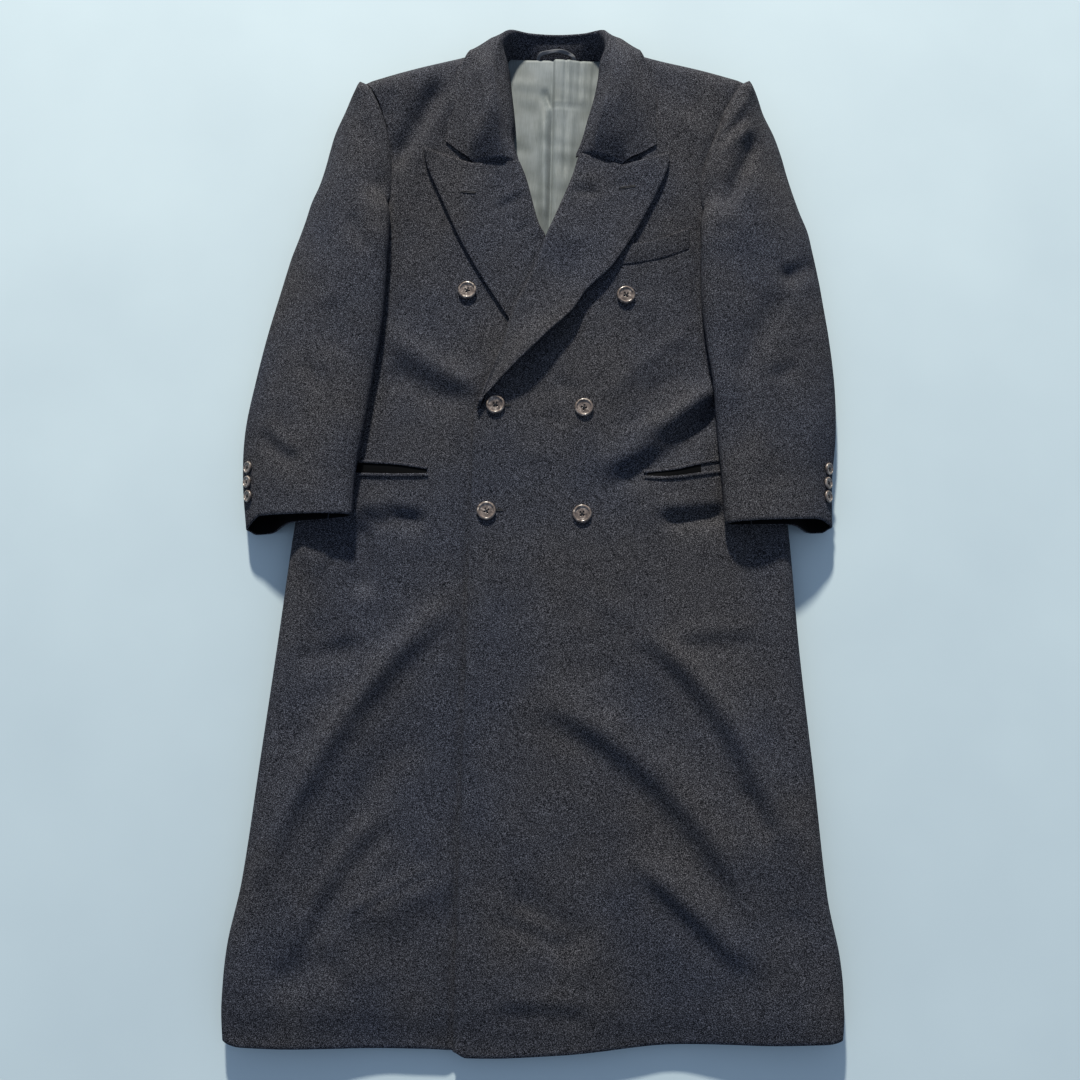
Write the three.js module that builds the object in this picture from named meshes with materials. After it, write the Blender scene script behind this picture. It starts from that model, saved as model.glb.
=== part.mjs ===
// Double-breasted cashmere overcoat, laid flat and face up, as a maker would cut and sew it.
// Millimetres. Z = 0 is the surface it lies on, +Y points to the collar and -Y to the hem.
// +X is the wearer's left, whose front laps over the other and carries the buttonholes.
import * as THREE from "three";

// Cloth and seams
const WALL = 2.4;
const LINING_WALL = 1.2;
const JET_WALL = 2.0;
const SEAM = 0.3;
// Every face of a seam stands back by half of it
const HALF_SEAM = SEAM / 2;

// Main sizes of the garment
const HEM_Y = -590;
const UNDERARM_Y = 345;
const NECK_POINT_X = 66;
const NECK_SEAM_Y = 664;
const OVERLAP_EDGE_X = -91;
const UNDERLAP_EDGE_X = 66;
const LAPEL_BREAK_Y = 158;

// How the layers lie on each other
const SIDE_ROLL = 22;
const SHOULDER_ROLL = 26;
const SLEEVE_ROLL = 18;
const OVERLAP_LIFT = 4.2;
const ROLL_LINE_LIFT = 5.6;
const UNDERLAP_SINK = 5;
const BACK_HEM_SHORTER = 3;
const LAPEL_CLEARANCE = 1.5;
const SLEEVE_CLEARANCE = 3.4;
const APPLIED_STAND = 1.0;

// Buttons
const FRONT_BUTTON = { radius: 11.5, height: 4.2, rim: 1.7, dish: 1.2, sides: 20 };
const CUFF_BUTTON = { radius: 7.5, height: 3.2, rim: 1.2, dish: 0.8, sides: 12 };

// The middle of the coat's own box, which becomes the origin
const ORIGIN = { x: -8, y: 50.5 };

const melton = { color: 0x24262b, roughness: 0.95, metalness: 0 };
const satin = { color: 0x8b9189, roughness: 0.45, metalness: 0 };
const horn = { color: 0x4a4039, roughness: 0.35, metalness: 0 };
const strap = { color: 0x77787a, roughness: 0.8, metalness: 0 };

// Body, a row for each section: side edges, and heights of the side rolls and of the middle
const BODY = [
  { y: -600, left: -352, right: 351, side: 29, middle: 18 },
  { y: -545, left: -357, right: 355, side: 34, middle: 23 },
  { y: -480, left: -355, right: 351, side: 36, middle: 27 },
  { y: -408, left: -343, right: 338, side: 37, middle: 30 },
  { y: -271, left: -331, right: 325, side: 38, middle: 33 },
  { y: -129, left: -319, right: 311, side: 38, middle: 36 },
  { y: 0, left: -309, right: 302, side: 37, middle: 38 },
  { y: 120, left: -297, right: 291, side: 37, middle: 40 },
  { y: 240, left: -284, right: 279, side: 37, middle: 42 },
  { y: 345, left: -274, right: 270, side: 40, middle: 44 },
  { y: 480, left: -274, right: 271, side: 52, middle: 46 },
  { y: 590, left: -274, right: 273, side: 58, middle: 48 },
  { y: 700, left: -274, right: 273, side: 58, middle: 46 },
];

// Largest folds, each a soft ridge (or a trough, with a negative height) from one end to the other
const FOLDS = [
  { x1: -118, y1: -95, x2: -312, y2: -420, bow: 26, height: 9, width: 26 },
  { x1: -165, y1: -240, x2: -262, y2: -480, bow: 12, height: -6, width: 24 },
  { x1: -285, y1: -128, x2: -225, y2: -140, bow: 0, height: -6, width: 22 },
  { x1: -90, y1: -392, x2: -215, y2: -446, bow: -6, height: 4, width: 20 },
  { x1: -300, y1: -520, x2: -225, y2: -492, bow: 0, height: -6, width: 22 },
  { x1: 10, y1: -180, x2: 258, y2: -410, bow: -24, height: 9, width: 26 },
  { x1: 130, y1: -112, x2: 306, y2: -395, bow: -22, height: 8, width: 24 },
  { x1: 112, y1: -376, x2: 262, y2: -492, bow: -8, height: 7, width: 22 },
  { x1: -30, y1: -420, x2: 60, y2: -470, bow: 4, height: -5, width: 22 },
  { x1: 70, y1: 88, x2: 214, y2: 206, bow: 8, height: 9, width: 17 },
  { x1: 76, y1: 62, x2: 216, y2: 170, bow: 6, height: -6, width: 16 },
  { x1: -205, y1: 248, x2: -88, y2: 186, bow: 6, height: 6, width: 20 },
  { x1: -196, y1: 212, x2: -110, y2: 166, bow: 4, height: -5, width: 18 },
  { x1: 150, y1: 18, x2: 222, y2: 40, bow: 0, height: -5, width: 20 },
  { x1: -200, y1: 20, x2: -145, y2: 20, bow: 0, height: -4, width: 18 },
];

// Shoulder seams run straight from the shoulder point to the neck point
const SHOULDER = {
  left: { x: -252, y: 598, neckY: 663 },
  right: { x: 252, y: 611, neckY: 664 },
};

// Hem of the fronts
const HEM = [
  { x: -356, y: -583 },
  { x: -330, y: -590 },
  { x: -155, y: -589 },
  { x: -92, y: -590 },
  { x: -75, y: -597 },
  { x: 38, y: -591 },
  { x: 146, y: -578 },
  { x: 330, y: -571 },
  { x: 356, y: -566 },
];

// Armholes: edge of the front above the underarm, and edge of the back below it
const ARMHOLE = {
  left: [
    { y: 345, front: -272, back: -272 },
    { y: 362, front: -249, back: -252 },
    { y: 385, front: -229, back: -238 },
    { y: 412, front: -214, back: -226 },
    { y: 440, front: -207, back: -218 },
    { y: 470, front: -207, back: -215 },
    { y: 502, front: -210, back: -217 },
    { y: 533, front: -216, back: -220 },
    { y: 562, front: -226, back: -229 },
    { y: 583, front: -238, back: -239 },
    { y: 592, front: -245, back: -245 },
    { y: 598, front: -251, back: -251 },
  ],
  right: [
    { y: 345, front: 268, back: 268 },
    { y: 362, front: 243, back: 248 },
    { y: 385, front: 220, back: 233 },
    { y: 412, front: 200, back: 220 },
    { y: 440, front: 190, back: 212 },
    { y: 474, front: 191, back: 208 },
    { y: 508, front: 200, back: 210 },
    { y: 537, front: 211, back: 216 },
    { y: 570, front: 224, back: 227 },
    { y: 596, front: 239, back: 240 },
    { y: 605, front: 245, back: 245 },
    { y: 611, front: 251, back: 251 },
  ],
};

// Break lines, from the neck down to the first fastened button
const BREAK = {
  over: [
    { y: 158, x: -88 },
    { y: 185, x: -80 },
    { y: 241, x: -60 },
    { y: 293, x: -44 },
    { y: 331, x: -27 },
    { y: 383, x: -8 },
    { y: 429, x: 10 },
    { y: 470, x: 25 },
    { y: 503, x: 34 },
    { y: 541, x: 47 },
    { y: 576, x: 56 },
    { y: 612, x: 62 },
    { y: 660, x: 65 },
  ],
  under: [
    { y: 158, x: 66 },
    { y: 241, x: 40 },
    { y: 293, x: 24 },
    { y: 331, x: 7 },
    { y: 388, x: -9 },
    { y: 415, x: -19 },
    { y: 465, x: -33 },
    { y: 483, x: -40 },
    { y: 517, x: -54 },
    { y: 573, x: -60 },
    { y: 630, x: -64 },
    { y: 660, x: -65 },
  ],
};

// Sleeves: fold on the body's side, outer fold, seam beneath, and height of the crown
const SLEEVE = {
  left: [
    { foldY: 21, foldX: -232, outY: 6, outX: -368, seam: -262, crown: 62, edge: 27 },
    { foldY: 70, foldX: -231, outY: 62, outX: -376, seam: -260, crown: 60, edge: 27 },
    { foldY: 135, foldX: -223, outY: 128, outX: -378, seam: -254, crown: 60, edge: 28 },
    { foldY: 200, foldX: -215, outY: 196, outX: -369, seam: -248, crown: 61, edge: 29 },
    { foldY: 250, foldX: -209, outY: 262, outX: -357, seam: -248, crown: 62, edge: 30 },
    { foldY: 290, foldX: -206, outY: 310, outX: -346, seam: -256, crown: 64, edge: 30 },
    { foldY: 325, foldX: -205, outY: 345, outX: -338, seam: -264, crown: 65, edge: 30 },
  ],
  right: [
    { foldY: 21, foldX: 217, outY: 26, outX: 355, seam: 250, crown: 62, edge: 27 },
    { foldY: 70, foldX: 214, outY: 80, outX: 356, seam: 246, crown: 60, edge: 27 },
    { foldY: 135, foldX: 208, outY: 145, outX: 362, seam: 240, crown: 60, edge: 28 },
    { foldY: 200, foldX: 202, outY: 209, outX: 362, seam: 236, crown: 61, edge: 29 },
    { foldY: 250, foldX: 195, outY: 270, outX: 356, seam: 240, crown: 62, edge: 30 },
    { foldY: 290, foldX: 190, outY: 312, outX: 350, seam: 249, crown: 64, edge: 30 },
    { foldY: 325, foldX: 188, outY: 345, outX: 345, seam: 259, crown: 65, edge: 30 },
  ],
};

// Sleeve heads, a row for each row of the armhole: outer fold, crown, and overhang past the seam
const CAP = {
  left: [
    { outY: 362, outX: -334, crown: 65, overhang: 67, edge: 30 },
    { outY: 388, outX: -326, crown: 66, overhang: 45, edge: 30 },
    { outY: 412, outX: -319, crown: 67, overhang: 25, edge: 30 },
    { outY: 436, outX: -313, crown: 67, overhang: 9, edge: 30 },
    { outY: 460, outX: -304, crown: 67, overhang: 0, edge: 30 },
    { outY: 484, outX: -298, crown: 66, overhang: 0, edge: 30 },
    { outY: 510, outX: -293, crown: 65, overhang: 0, edge: 30 },
    { outY: 536, outX: -287, crown: 64, overhang: 0, edge: 31 },
    { outY: 560, outX: -277, crown: 63, overhang: 0, edge: 33 },
    { outY: 579, outX: -268, crown: 60, overhang: 0, edge: 37 },
    { outY: 589, outX: -262, crown: 51, overhang: 0, edge: 45 },
    { outY: 596, outX: -257, crown: 32, overhang: 0, edge: 57 },
  ],
  right: [
    { outY: 362, outX: 342, crown: 65, overhang: 80, edge: 30 },
    { outY: 388, outX: 337, crown: 66, overhang: 55, edge: 30 },
    { outY: 412, outX: 332, crown: 67, overhang: 32, edge: 30 },
    { outY: 438, outX: 322, crown: 67, overhang: 11, edge: 30 },
    { outY: 462, outX: 314, crown: 67, overhang: 0, edge: 30 },
    { outY: 490, outX: 306, crown: 66, overhang: 0, edge: 30 },
    { outY: 518, outX: 299, crown: 65, overhang: 0, edge: 30 },
    { outY: 545, outX: 290, crown: 64, overhang: 0, edge: 31 },
    { outY: 571, outX: 277, crown: 63, overhang: 0, edge: 33 },
    { outY: 592, outX: 268, crown: 60, overhang: 0, edge: 37 },
    { outY: 602, outX: 262, crown: 51, overhang: 0, edge: 45 },
    { outY: 609, outX: 257, crown: 32, overhang: 0, edge: 57 },
  ],
};

// Lapels, a row for each section: outer edge, its lift, and near the notch a point on the way to it
const LAPEL = {
  left: [
    { y: 488, midX: -104, midY: 484, edgeX: -165, edgeY: 500, lift: 1.5 },
    { y: 472, midX: -98, midY: 470, edgeX: -160, edgeY: 476, lift: 1.5 },
    { y: 442, edgeX: -147, edgeY: 447, lift: 1.5 },
    { y: 415, edgeX: -133, edgeY: 417, lift: 1.5 },
    { y: 388, edgeX: -119, edgeY: 388, lift: 1.5 },
    { y: 362, edgeX: -105, edgeY: 362, lift: 1.5 },
    { y: 335, edgeX: -89, edgeY: 335, lift: 1 },
    { y: 308, edgeX: -70, edgeY: 306, lift: 1 },
    { y: 280, edgeX: -52, edgeY: 280, lift: 0.6 },
    { y: 255, edgeX: -36, edgeY: 256, lift: 0.4 },
  ],
  right: [
    { y: 498, midX: 88, midY: 483.5, edgeX: 148, edgeY: 502, lift: 2.5 },
    { y: 478, midX: 87, midY: 470, edgeX: 146, edgeY: 480, lift: 2.5 },
    { y: 455, midX: 80, midY: 452, edgeX: 134, edgeY: 450, lift: 2.5 },
    { y: 429, edgeX: 121, edgeY: 423, lift: 3 },
    { y: 406, edgeX: 108, edgeY: 397, lift: 3.5 },
    { y: 383, edgeX: 92, edgeY: 369, lift: 4.5 },
    { y: 357, edgeX: 74, edgeY: 342, lift: 6 },
    { y: 331, edgeX: 46, edgeY: 313, lift: 9 },
    { y: 300, edgeX: 28, edgeY: 284, lift: 13 },
    { y: 270, edgeX: 4, edgeY: 259, lift: 17 },
    { y: 241, edgeX: -20, edgeY: 233, lift: 17 },
    { y: 212, edgeX: -45, edgeY: 208, lift: 13 },
    { y: 185, edgeX: -66, edgeY: 186, lift: 7 },
    { y: 160, edgeX: -84, edgeY: 168, lift: 2 },
  ],
};

// Collar, left end to right end: foot of the stand, fold, a point on the fall, and outer edge
const COLLAR = [
  { footX: -43, footY: 490.5, foldX: -48, foldY: 491.5, midX: -103, midY: 487, edgeX: -138, edgeY: 512 },
  { footX: -52, footY: 520, foldX: -57, foldY: 520, midX: -100, midY: 516, edgeX: -137, edgeY: 524 },
  { footX: -55, footY: 548, foldX: -60, foldY: 548, midX: -97, midY: 548, edgeX: -135, edgeY: 550 },
  { footX: -58, footY: 582, foldX: -63, foldY: 582, midX: -96, midY: 582, edgeX: -131, edgeY: 582 },
  { footX: -60, footY: 612, foldX: -65, foldY: 612, midX: -95, midY: 612, edgeX: -124, edgeY: 610 },
  { footX: -61, footY: 638, foldX: -67, foldY: 640, midX: -93, midY: 641, edgeX: -115, edgeY: 637 },
  { footX: -62, footY: 655, foldX: -67, foldY: 664, midX: -88, midY: 672, edgeX: -107, edgeY: 667 },
  { footX: -53, footY: 663, foldX: -58, foldY: 683, midX: -70, midY: 689, edgeX: -82, edgeY: 691 },
  { footX: -32, footY: 665, foldX: -33, foldY: 687, midX: -37, midY: 693, edgeX: -41, edgeY: 697 },
  { footX: 0, footY: 665, foldX: 0, foldY: 687, midX: 0, midY: 693, edgeX: 0, edgeY: 697 },
  { footX: 32, footY: 666, foldX: 34, foldY: 688, midX: 38, midY: 694, edgeX: 42, edgeY: 698 },
  { footX: 53, footY: 665, foldX: 60, foldY: 684, midX: 71, midY: 690, edgeX: 83, edgeY: 692 },
  { footX: 62, footY: 657, foldX: 67, foldY: 664.5, midX: 88, midY: 674, edgeX: 106, edgeY: 669 },
  { footX: 60, footY: 638, foldX: 66, foldY: 641, midX: 91, midY: 645, edgeX: 113, edgeY: 641 },
  { footX: 58, footY: 612, foldX: 64, foldY: 612, midX: 94, midY: 616, edgeX: 122, edgeY: 614 },
  { footX: 53, footY: 582, foldX: 58, foldY: 582, midX: 93, midY: 584, edgeX: 129, edgeY: 587 },
  { footX: 44, footY: 548, foldX: 49, foldY: 548, midX: 89, midY: 550, edgeX: 131, edgeY: 552 },
  { footX: 36, footY: 522, foldX: 41, foldY: 522, midX: 85, midY: 518, edgeX: 132, edgeY: 528 },
  { footX: 29, footY: 501.5, foldX: 34, foldY: 502.5, midX: 88, midY: 487, edgeX: 132, edgeY: 514 },
];
// Height of the fold over the floor behind the neck, where the stand lies back, and where the fall
// reaches the floor
const COLLAR_FOLD = [
  { x: 0, z: 14 },
  { x: 34, z: 18 },
  { x: 59, z: 33 },
  { x: 67, z: 45 },
];
const COLLAR_FOOT_Z = 3.4;
const COLLAR_FLOOR = 2;
const COLLAR_FALL_Y = { start: 638, behind: 668 };
// Round of the collar's fold: distance out from it, and height over it
const COLLAR_ROLL = [
  { out: 1.6, up: 1.6 },
  { out: 4.6, up: 2.2 },
];
// Below this the under lapel is tucked beneath the lapped front
const TUCK_BELOW_Y = 390;

// Lining, hanger loop
const LINING = {
  lowY: 372, highY: 658, rows: 9, tuck: 13, pleat: 4,
  shares: [-1, -0.66, -0.33, -0.1, 0, 0.03, 0.12, 0.3, 0.5, 0.75, 1],
};
const LOOP = { x: 1, y: 663.5, halfWidth: 20, width: 5, rise: 13, footZ: 4.6, wall: 1.3, steps: 10 };

// Buttons on the fronts and on the sleeves' outer folds
const FRONT_BUTTONS = [
  { name: "button_top_right", x: -104, y: 314 },
  { name: "button_top_left", x: 95, y: 311 },
  { name: "button_middle_right", x: -64, y: 165 },
  { name: "button_middle_left", x: 45, y: 164 },
  { name: "button_bottom_right", x: -71, y: 32 },
  { name: "button_bottom_left", x: 45, y: 31 },
];
const CUFF_BUTTONS = {
  left: [82, 64, 46],
  right: [97, 79, 62],
};
const CUFF_BUTTON_SHARE = 0.93;
const BUTTON_STAND = 0.4;

// Pockets: jets of the hip pockets, by their ends, and the breast welt
const JETS = [
  { name: "right_pocket_upper_jet", x1: -256, y1: 98, x2: -143, y2: 84, width: 6 },
  { name: "right_pocket_lower_jet", x1: -256, y1: 86, x2: -142, y2: 75, width: 6 },
  { name: "left_pocket_upper_jet", x1: 120, y1: 82, x2: 240, y2: 106, width: 6 },
  { name: "left_pocket_lower_jet", x1: 122, y1: 73, x2: 240, y2: 93, width: 6 },
];
const WELT = { x1: 78, lower1: 349, upper1: 374, x2: 175, lower2: 376, upper2: 404, sag: 4 };

const smooth = (low, high, value) => {
  const t = Math.min(Math.max((value - low) / (high - low), 0), 1);
  return t * t * (3 - 2 * t);
};
const mix = (a, b, t) => a + (b - a) * t;

// One column of a table as a smooth curve over another, which may rise or fall down the table
function column(table, by, name) {
  const rows = table[0][by] < table.at(-1)[by] ? table : [...table].reverse();
  const slope = (i) => {
    const low = rows[Math.max(i - 1, 0)];
    const high = rows[Math.min(i + 1, rows.length - 1)];
    return (high[name] - low[name]) / (high[by] - low[by]);
  };
  return (key) => {
    if (key <= rows[0][by]) return rows[0][name];
    if (key >= rows.at(-1)[by]) return rows.at(-1)[name];
    const i = rows.findIndex((row) => row[by] > key) - 1;
    const span = rows[i + 1][by] - rows[i][by];
    const t = (key - rows[i][by]) / span;
    const bend = t * (1 - t) * span;
    const line = mix(rows[i][name], rows[i + 1][name], t * t * (3 - 2 * t));
    return line + bend * ((1 - t) * slope(i) - t * slope(i + 1));
  };
}

const leftEdge = column(BODY, "y", "left");
const rightEdge = column(BODY, "y", "right");
const sideHeight = column(BODY, "y", "side");
const middleHeight = column(BODY, "y", "middle");
const hemY = column(HEM, "x", "y");
const overBreak = column(BREAK.over, "y", "x");
const underBreak = column(BREAK.under, "y", "x");

function shoulderY(x) {
  const side = x < 0 ? SHOULDER.left : SHOULDER.right;
  const t = (Math.abs(side.x) - Math.abs(x)) / (Math.abs(side.x) - NECK_POINT_X);
  return mix(side.y, side.neckY, Math.min(t, 1));
}

// Height that one fold adds at a place
function foldHeight(fold, x, y) {
  const dx = fold.x2 - fold.x1;
  const dy = fold.y2 - fold.y1;
  const length = Math.hypot(dx, dy);
  const along = ((x - fold.x1) * dx + (y - fold.y1) * dy) / length ** 2;
  const bend = 4 * fold.bow * Math.min(Math.max(along, 0), 1) * (1 - Math.min(Math.max(along, 0), 1));
  const across = ((x - fold.x1) * dy - (y - fold.y1) * dx) / length - bend;
  const ends = smooth(-0.12, 0.2, along) * smooth(1.12, 0.8, along);
  return fold.height * ends * Math.exp(-((across / fold.width) ** 2));
}

// Distance inside the nearest rolled edge, as a share of that roll's depth, at most 1
function insideRoll(x, y) {
  const side = Math.min(x - leftEdge(y), rightEdge(y) - x) / SIDE_ROLL;
  const atNeck = smooth(NECK_POINT_X + 10, NECK_POINT_X - 2, Math.abs(x));
  const shoulder = mix((shoulderY(x) - y) / SHOULDER_ROLL, 1, atNeck);
  return Math.min(Math.max(Math.min(side, shoulder), 0), 1);
}

// Height of the body over the floor where the sides roll round, and over the whole top
function rollHeight(x, y) {
  const edge = Math.min(x - leftEdge(y), rightEdge(y) - x);
  const nearSide = 1 - smooth(60, 200, edge);
  return mix(middleHeight(y), sideHeight(y), nearSide);
}
function bodyTop(x, y) {
  const height = rollHeight(x, y);
  const crown = height + FOLDS.reduce((sum, fold) => sum + foldHeight(fold, x, y), 0);
  const round = Math.sqrt(1 - (1 - insideRoll(x, y)) ** 2);
  return height / 2 + (crown - height / 2) * round;
}
function bodyBottom(x, y) {
  const round = Math.sqrt(1 - (1 - insideRoll(x, y)) ** 2);
  return (rollHeight(x, y) / 2) * (1 - round);
}

// Outer faces of the two fronts: the lapped one stands proud, the one beneath it sinks
function overTop(x, y) {
  const lap = OVERLAP_LIFT * (1 - smooth(70, 150, x));
  const nearBreak = 1 - smooth(0, 70, x - overBreak(y));
  const roll = ROLL_LINE_LIFT * nearBreak * smooth(150, 240, y) * smooth(470, 380, y);
  return bodyTop(x, y) + lap + roll;
}
function underTop(x, y) {
  const covered = smooth(0, 34, x - Math.max(OVERLAP_EDGE_X, overBreak(Math.max(y, LAPEL_BREAK_Y))));
  const below = 1 - smooth(330, 400, y);
  return bodyTop(x, y) - UNDERLAP_SINK * covered * below;
}
function point(x, y, z) {
  return new THREE.Vector3(x, y, z);
}

// A piece of cloth: rows of points on its outer face, and its wall behind them. Where a row or
// column ends at the height of a rolled edge, its wall stands level, face to face with the next piece
function cloth(name, rows, wall, look, outward = 1, level = () => false) {
  const last = { row: rows.length - 1, col: rows[0].length - 1 };
  const positions = [];
  const inner = [];
  rows.forEach((row, r) => row.forEach((p, c) => {
    const along = rows[Math.min(r + 1, last.row)][c].clone().sub(rows[Math.max(r - 1, 0)][c]);
    const across = row[Math.min(c + 1, last.col)].clone().sub(row[Math.max(c - 1, 0)]);
    const normal = across.cross(along);
    if (level(r, c)) normal.z = 0;
    normal.normalize().multiplyScalar(outward);
    positions.push(...p.toArray());
    inner.push(...p.clone().addScaledVector(normal, -wall).toArray());
  }));
  const back = rows.length * (last.col + 1);
  const at = (r, c) => r * (last.col + 1) + c;
  const triangles = [];
  const quad = (a, b, c, d) => triangles.push(...(outward > 0 ? [a, b, c, a, c, d] : [a, c, b, a, d, c]));
  for (let r = 0; r < last.row; r += 1) {
    for (let c = 0; c < last.col; c += 1) {
      const corners = [at(r, c), at(r, c + 1), at(r + 1, c + 1), at(r + 1, c)];
      quad(...corners);
      quad(...[...corners].reverse().map((i) => i + back));
    }
  }
  const rim = (a, b) => quad(a, a + back, b + back, b);
  for (let c = 0; c < last.col; c += 1) {
    rim(at(0, c), at(0, c + 1));
    rim(at(last.row, c + 1), at(last.row, c));
  }
  for (let r = 0; r < last.row; r += 1) {
    rim(at(r, last.col), at(r + 1, last.col));
    rim(at(r + 1, 0), at(r, 0));
  }
  const geometry = new THREE.BufferGeometry();
  geometry.setAttribute("position", new THREE.Float32BufferAttribute([...positions, ...inner], 3));
  geometry.setIndex(triangles);
  geometry.computeVertexNormals();
  return named(name, geometry, look);
}

function named(name, geometry, look) {
  const mesh = new THREE.Mesh(geometry, new THREE.MeshStandardMaterial(look));
  mesh.name = name;
  return mesh;
}

// Places along the body for its rows: skirt, underarm, armhole and the roll over the shoulder
const SKIRT_ROWS = 20;
const SHOULDER_STEPS = [22, 13, 6, 2, HALF_SEAM];
function bodyRows(side) {
  const rows = [];
  for (let i = 0; i <= SKIRT_ROWS; i += 1) rows.push(mix(HEM_Y, UNDERARM_Y, i / SKIRT_ROWS));
  const top = SHOULDER[side].y;
  ARMHOLE[side].slice(1, -1).forEach((row) => rows.push(row.y));
  const kept = rows.filter((y) => y < top - SHOULDER_STEPS[0] - 4);
  return [...kept, ...SHOULDER_STEPS.map((step) => top - step)];
}

// Columns: close together round the side roll, then even up to the front edge
const ROLL_COLUMNS = [0, 1.2, 5, 12, 22, 42];
function columns(count, neck) {
  return (width) => {
    const shares = ROLL_COLUMNS.map((inset) => inset / width);
    const stop = 1 - neck / width;
    for (let i = 1; i <= count; i += 1) shares.push(mix(ROLL_COLUMNS.at(-1) / width, stop, i / count));
    return neck > 0 ? [...shares, mix(stop, 1, 0.5), 1] : shares;
  };
}

// Rows of a body piece: each starts at the side or armhole and tilts up to follow the shoulder
function panel(side, height, inner, count, edgeColumn, hem, neck = 0) {
  const sign = side === "left" ? -1 : 1;
  const armhole = column(ARMHOLE[side], "y", edgeColumn);
  const seam = side === "left" ? leftEdge : rightEdge;
  const shares = columns(count, neck);
  return bodyRows(side).map((rowY) => {
    const start = rowY <= UNDERARM_Y ? seam(rowY) : armhole(rowY);
    const tilt = smooth(UNDERARM_Y, SHOULDER[side].y - 40, rowY);
    const toHem = 1 - smooth(HEM_Y, HEM_Y + 160, rowY);
    const placeY = (x) => {
      const lift = tilt * (shoulderY(x) - shoulderY(start));
      const drop = toHem * (hem(x) - HEM_Y);
      return rowY + lift + drop;
    };
    let end = inner(rowY);
    for (let i = 0; i < 4; i += 1) end = inner(placeY(end));
    const width = Math.abs(end - start);
    return shares(width).map((share) => {
      const x = start - sign * share * width;
      return point(x, placeY(x), height(x, placeY(x)));
    });
  });
}

// Edge of each front: straight up to the break, then along it, drawn in under the turned lapel
const EDGE_INSET = { lapel: 4.9, collar: 11 };
const edgeInset = (y) => mix(EDGE_INSET.lapel, EDGE_INSET.collar, smooth(465, 492, y));
const overInner = (y) => (y < LAPEL_BREAK_Y ? OVERLAP_EDGE_X : overBreak(y) + edgeInset(y));
const underInner = (y) => (y < LAPEL_BREAK_Y ? UNDERLAP_EDGE_X : underBreak(y) - edgeInset(y));

// Rows that end on the side seam, and the last row, on the shoulder seam
const onSideSeam = (r, c) => c === 0 && r <= SKIRT_ROWS;
const onSeam = (rows) => (r, c) => onSideSeam(r, c) || r === rows.length - 1;

const overRows = panel("right", (x, y) => overTop(x, y) + HALF_SEAM, overInner, 14, "front", hemY);
const underRows = panel("left", (x, y) => underTop(x, y) + HALF_SEAM, underInner, 13, "front", hemY);
const leftFront = () => cloth("left_front", overRows, WALL, melton, -1, onSeam(overRows));
const rightFront = () => cloth("right_front", underRows, WALL, melton, 1, onSeam(underRows));

// Height of a front's own facets at a place, for the pieces that lie on it
function facetHeight(rows, x, y) {
  const place = new THREE.Vector3();
  const spot = point(x, y, 0);
  for (let r = 0; r < rows.length - 1; r += 1) {
    for (let c = 0; c < rows[0].length - 1; c += 1) {
      const corners = [rows[r][c], rows[r][c + 1], rows[r + 1][c + 1], rows[r + 1][c]];
      for (const pick of [[0, 1, 2], [0, 2, 3]]) {
        const trio = pick.map((i) => corners[i]);
        const flat = trio.map((p) => point(p.x, p.y, 0));
        if (!THREE.Triangle.getBarycoord(spot, ...flat, place)) continue;
        if (Math.min(place.x, place.y, place.z) < -1e-6) continue;
        return trio[0].z * place.x + trio[1].z * place.y + trio[2].z * place.z;
      }
    }
  }
  throw new Error(`no cloth at ${x}, ${y}`);
}
const overFacets = (x, y) => facetHeight(overRows, x, y);
const underFacets = (x, y) => facetHeight(underRows, x, y);

// The back is one piece: both halves' rows joined at the middle, flat on the floor between the rolls
function back() {
  const height = (x, y) => bodyBottom(x, y) - (insideRoll(x, y) < 1 ? HALF_SEAM : 0);
  const floor = (x, y) => Math.max(height(x, y), 0);
  const middle = () => 0;
  const hem = (x) => Math.max(hemY(x), HEM_Y) + BACK_HEM_SHORTER;
  const left = panel("left", floor, middle, 4, "back", hem, NECK_POINT_X - 1);
  const right = panel("right", floor, middle, 4, "back", hem, NECK_POINT_X - 1);
  const rows = left.map((row, i) => [...row, ...[...right[i]].reverse().slice(1)]);
  const lastColumn = rows[0].length - 1;
  const sides = (r, c) => onSideSeam(r, c) || onSideSeam(r, lastColumn - c);
  const shoulders = (r, c) => r === rows.length - 1 && rows[r][c].z > 1;
  return cloth("back", rows, WALL, melton, -1, (r, c) => sides(r, c) || shoulders(r, c));
}

// Support under a sleeve: the floor, a ramp beside the body, and the body's top under its inner part
function sleeveSupport(side, x, y) {
  const inside = side === "left" ? x - leftEdge(y) : rightEdge(y) - x;
  const onBody = Math.max(inside, SIDE_ROLL);
  const bodyX = side === "left" ? leftEdge(y) + onBody : rightEdge(y) - onBody;
  return (bodyTop(bodyX, y) + SLEEVE_CLEARANCE) * smooth(-34, 6, inside);
}

const SLEEVE_FULLNESS = 2.4;
const bulge = (t) => (1 - Math.abs(2 * t - 1) ** SLEEVE_FULLNESS) ** (1 / SLEEVE_FULLNESS);
const TURN_COLUMNS = [0, 0.35, 0.7];
const TOP_COLUMNS = [0, 0.012, 0.05, 0.13, 0.25, 0.4, 0.55, 0.7, 0.82, 0.92, 0.975, 1];
const UNDER_COLUMNS = [0, 0.025, 0.08, 0.17, 0.3, 0.45, 0.6, 0.75, 0.9, 1];
const FOLD_RISE = 9;
// Where the sleeve isn't turned under, it rises beside the armhole seam to its roped head
const ROPE = { width: 5, rise: 4 };
const SEAM_RISE = 0.9;
const UNDERARM_INSET = 10;
const UNDERARM_PASS = { out: 9, up: 6 };
const TURNED = 5;
const FULL_TURN = 30;

const frontTop = (side) => (side === "left" ? underTop : overTop);

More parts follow.
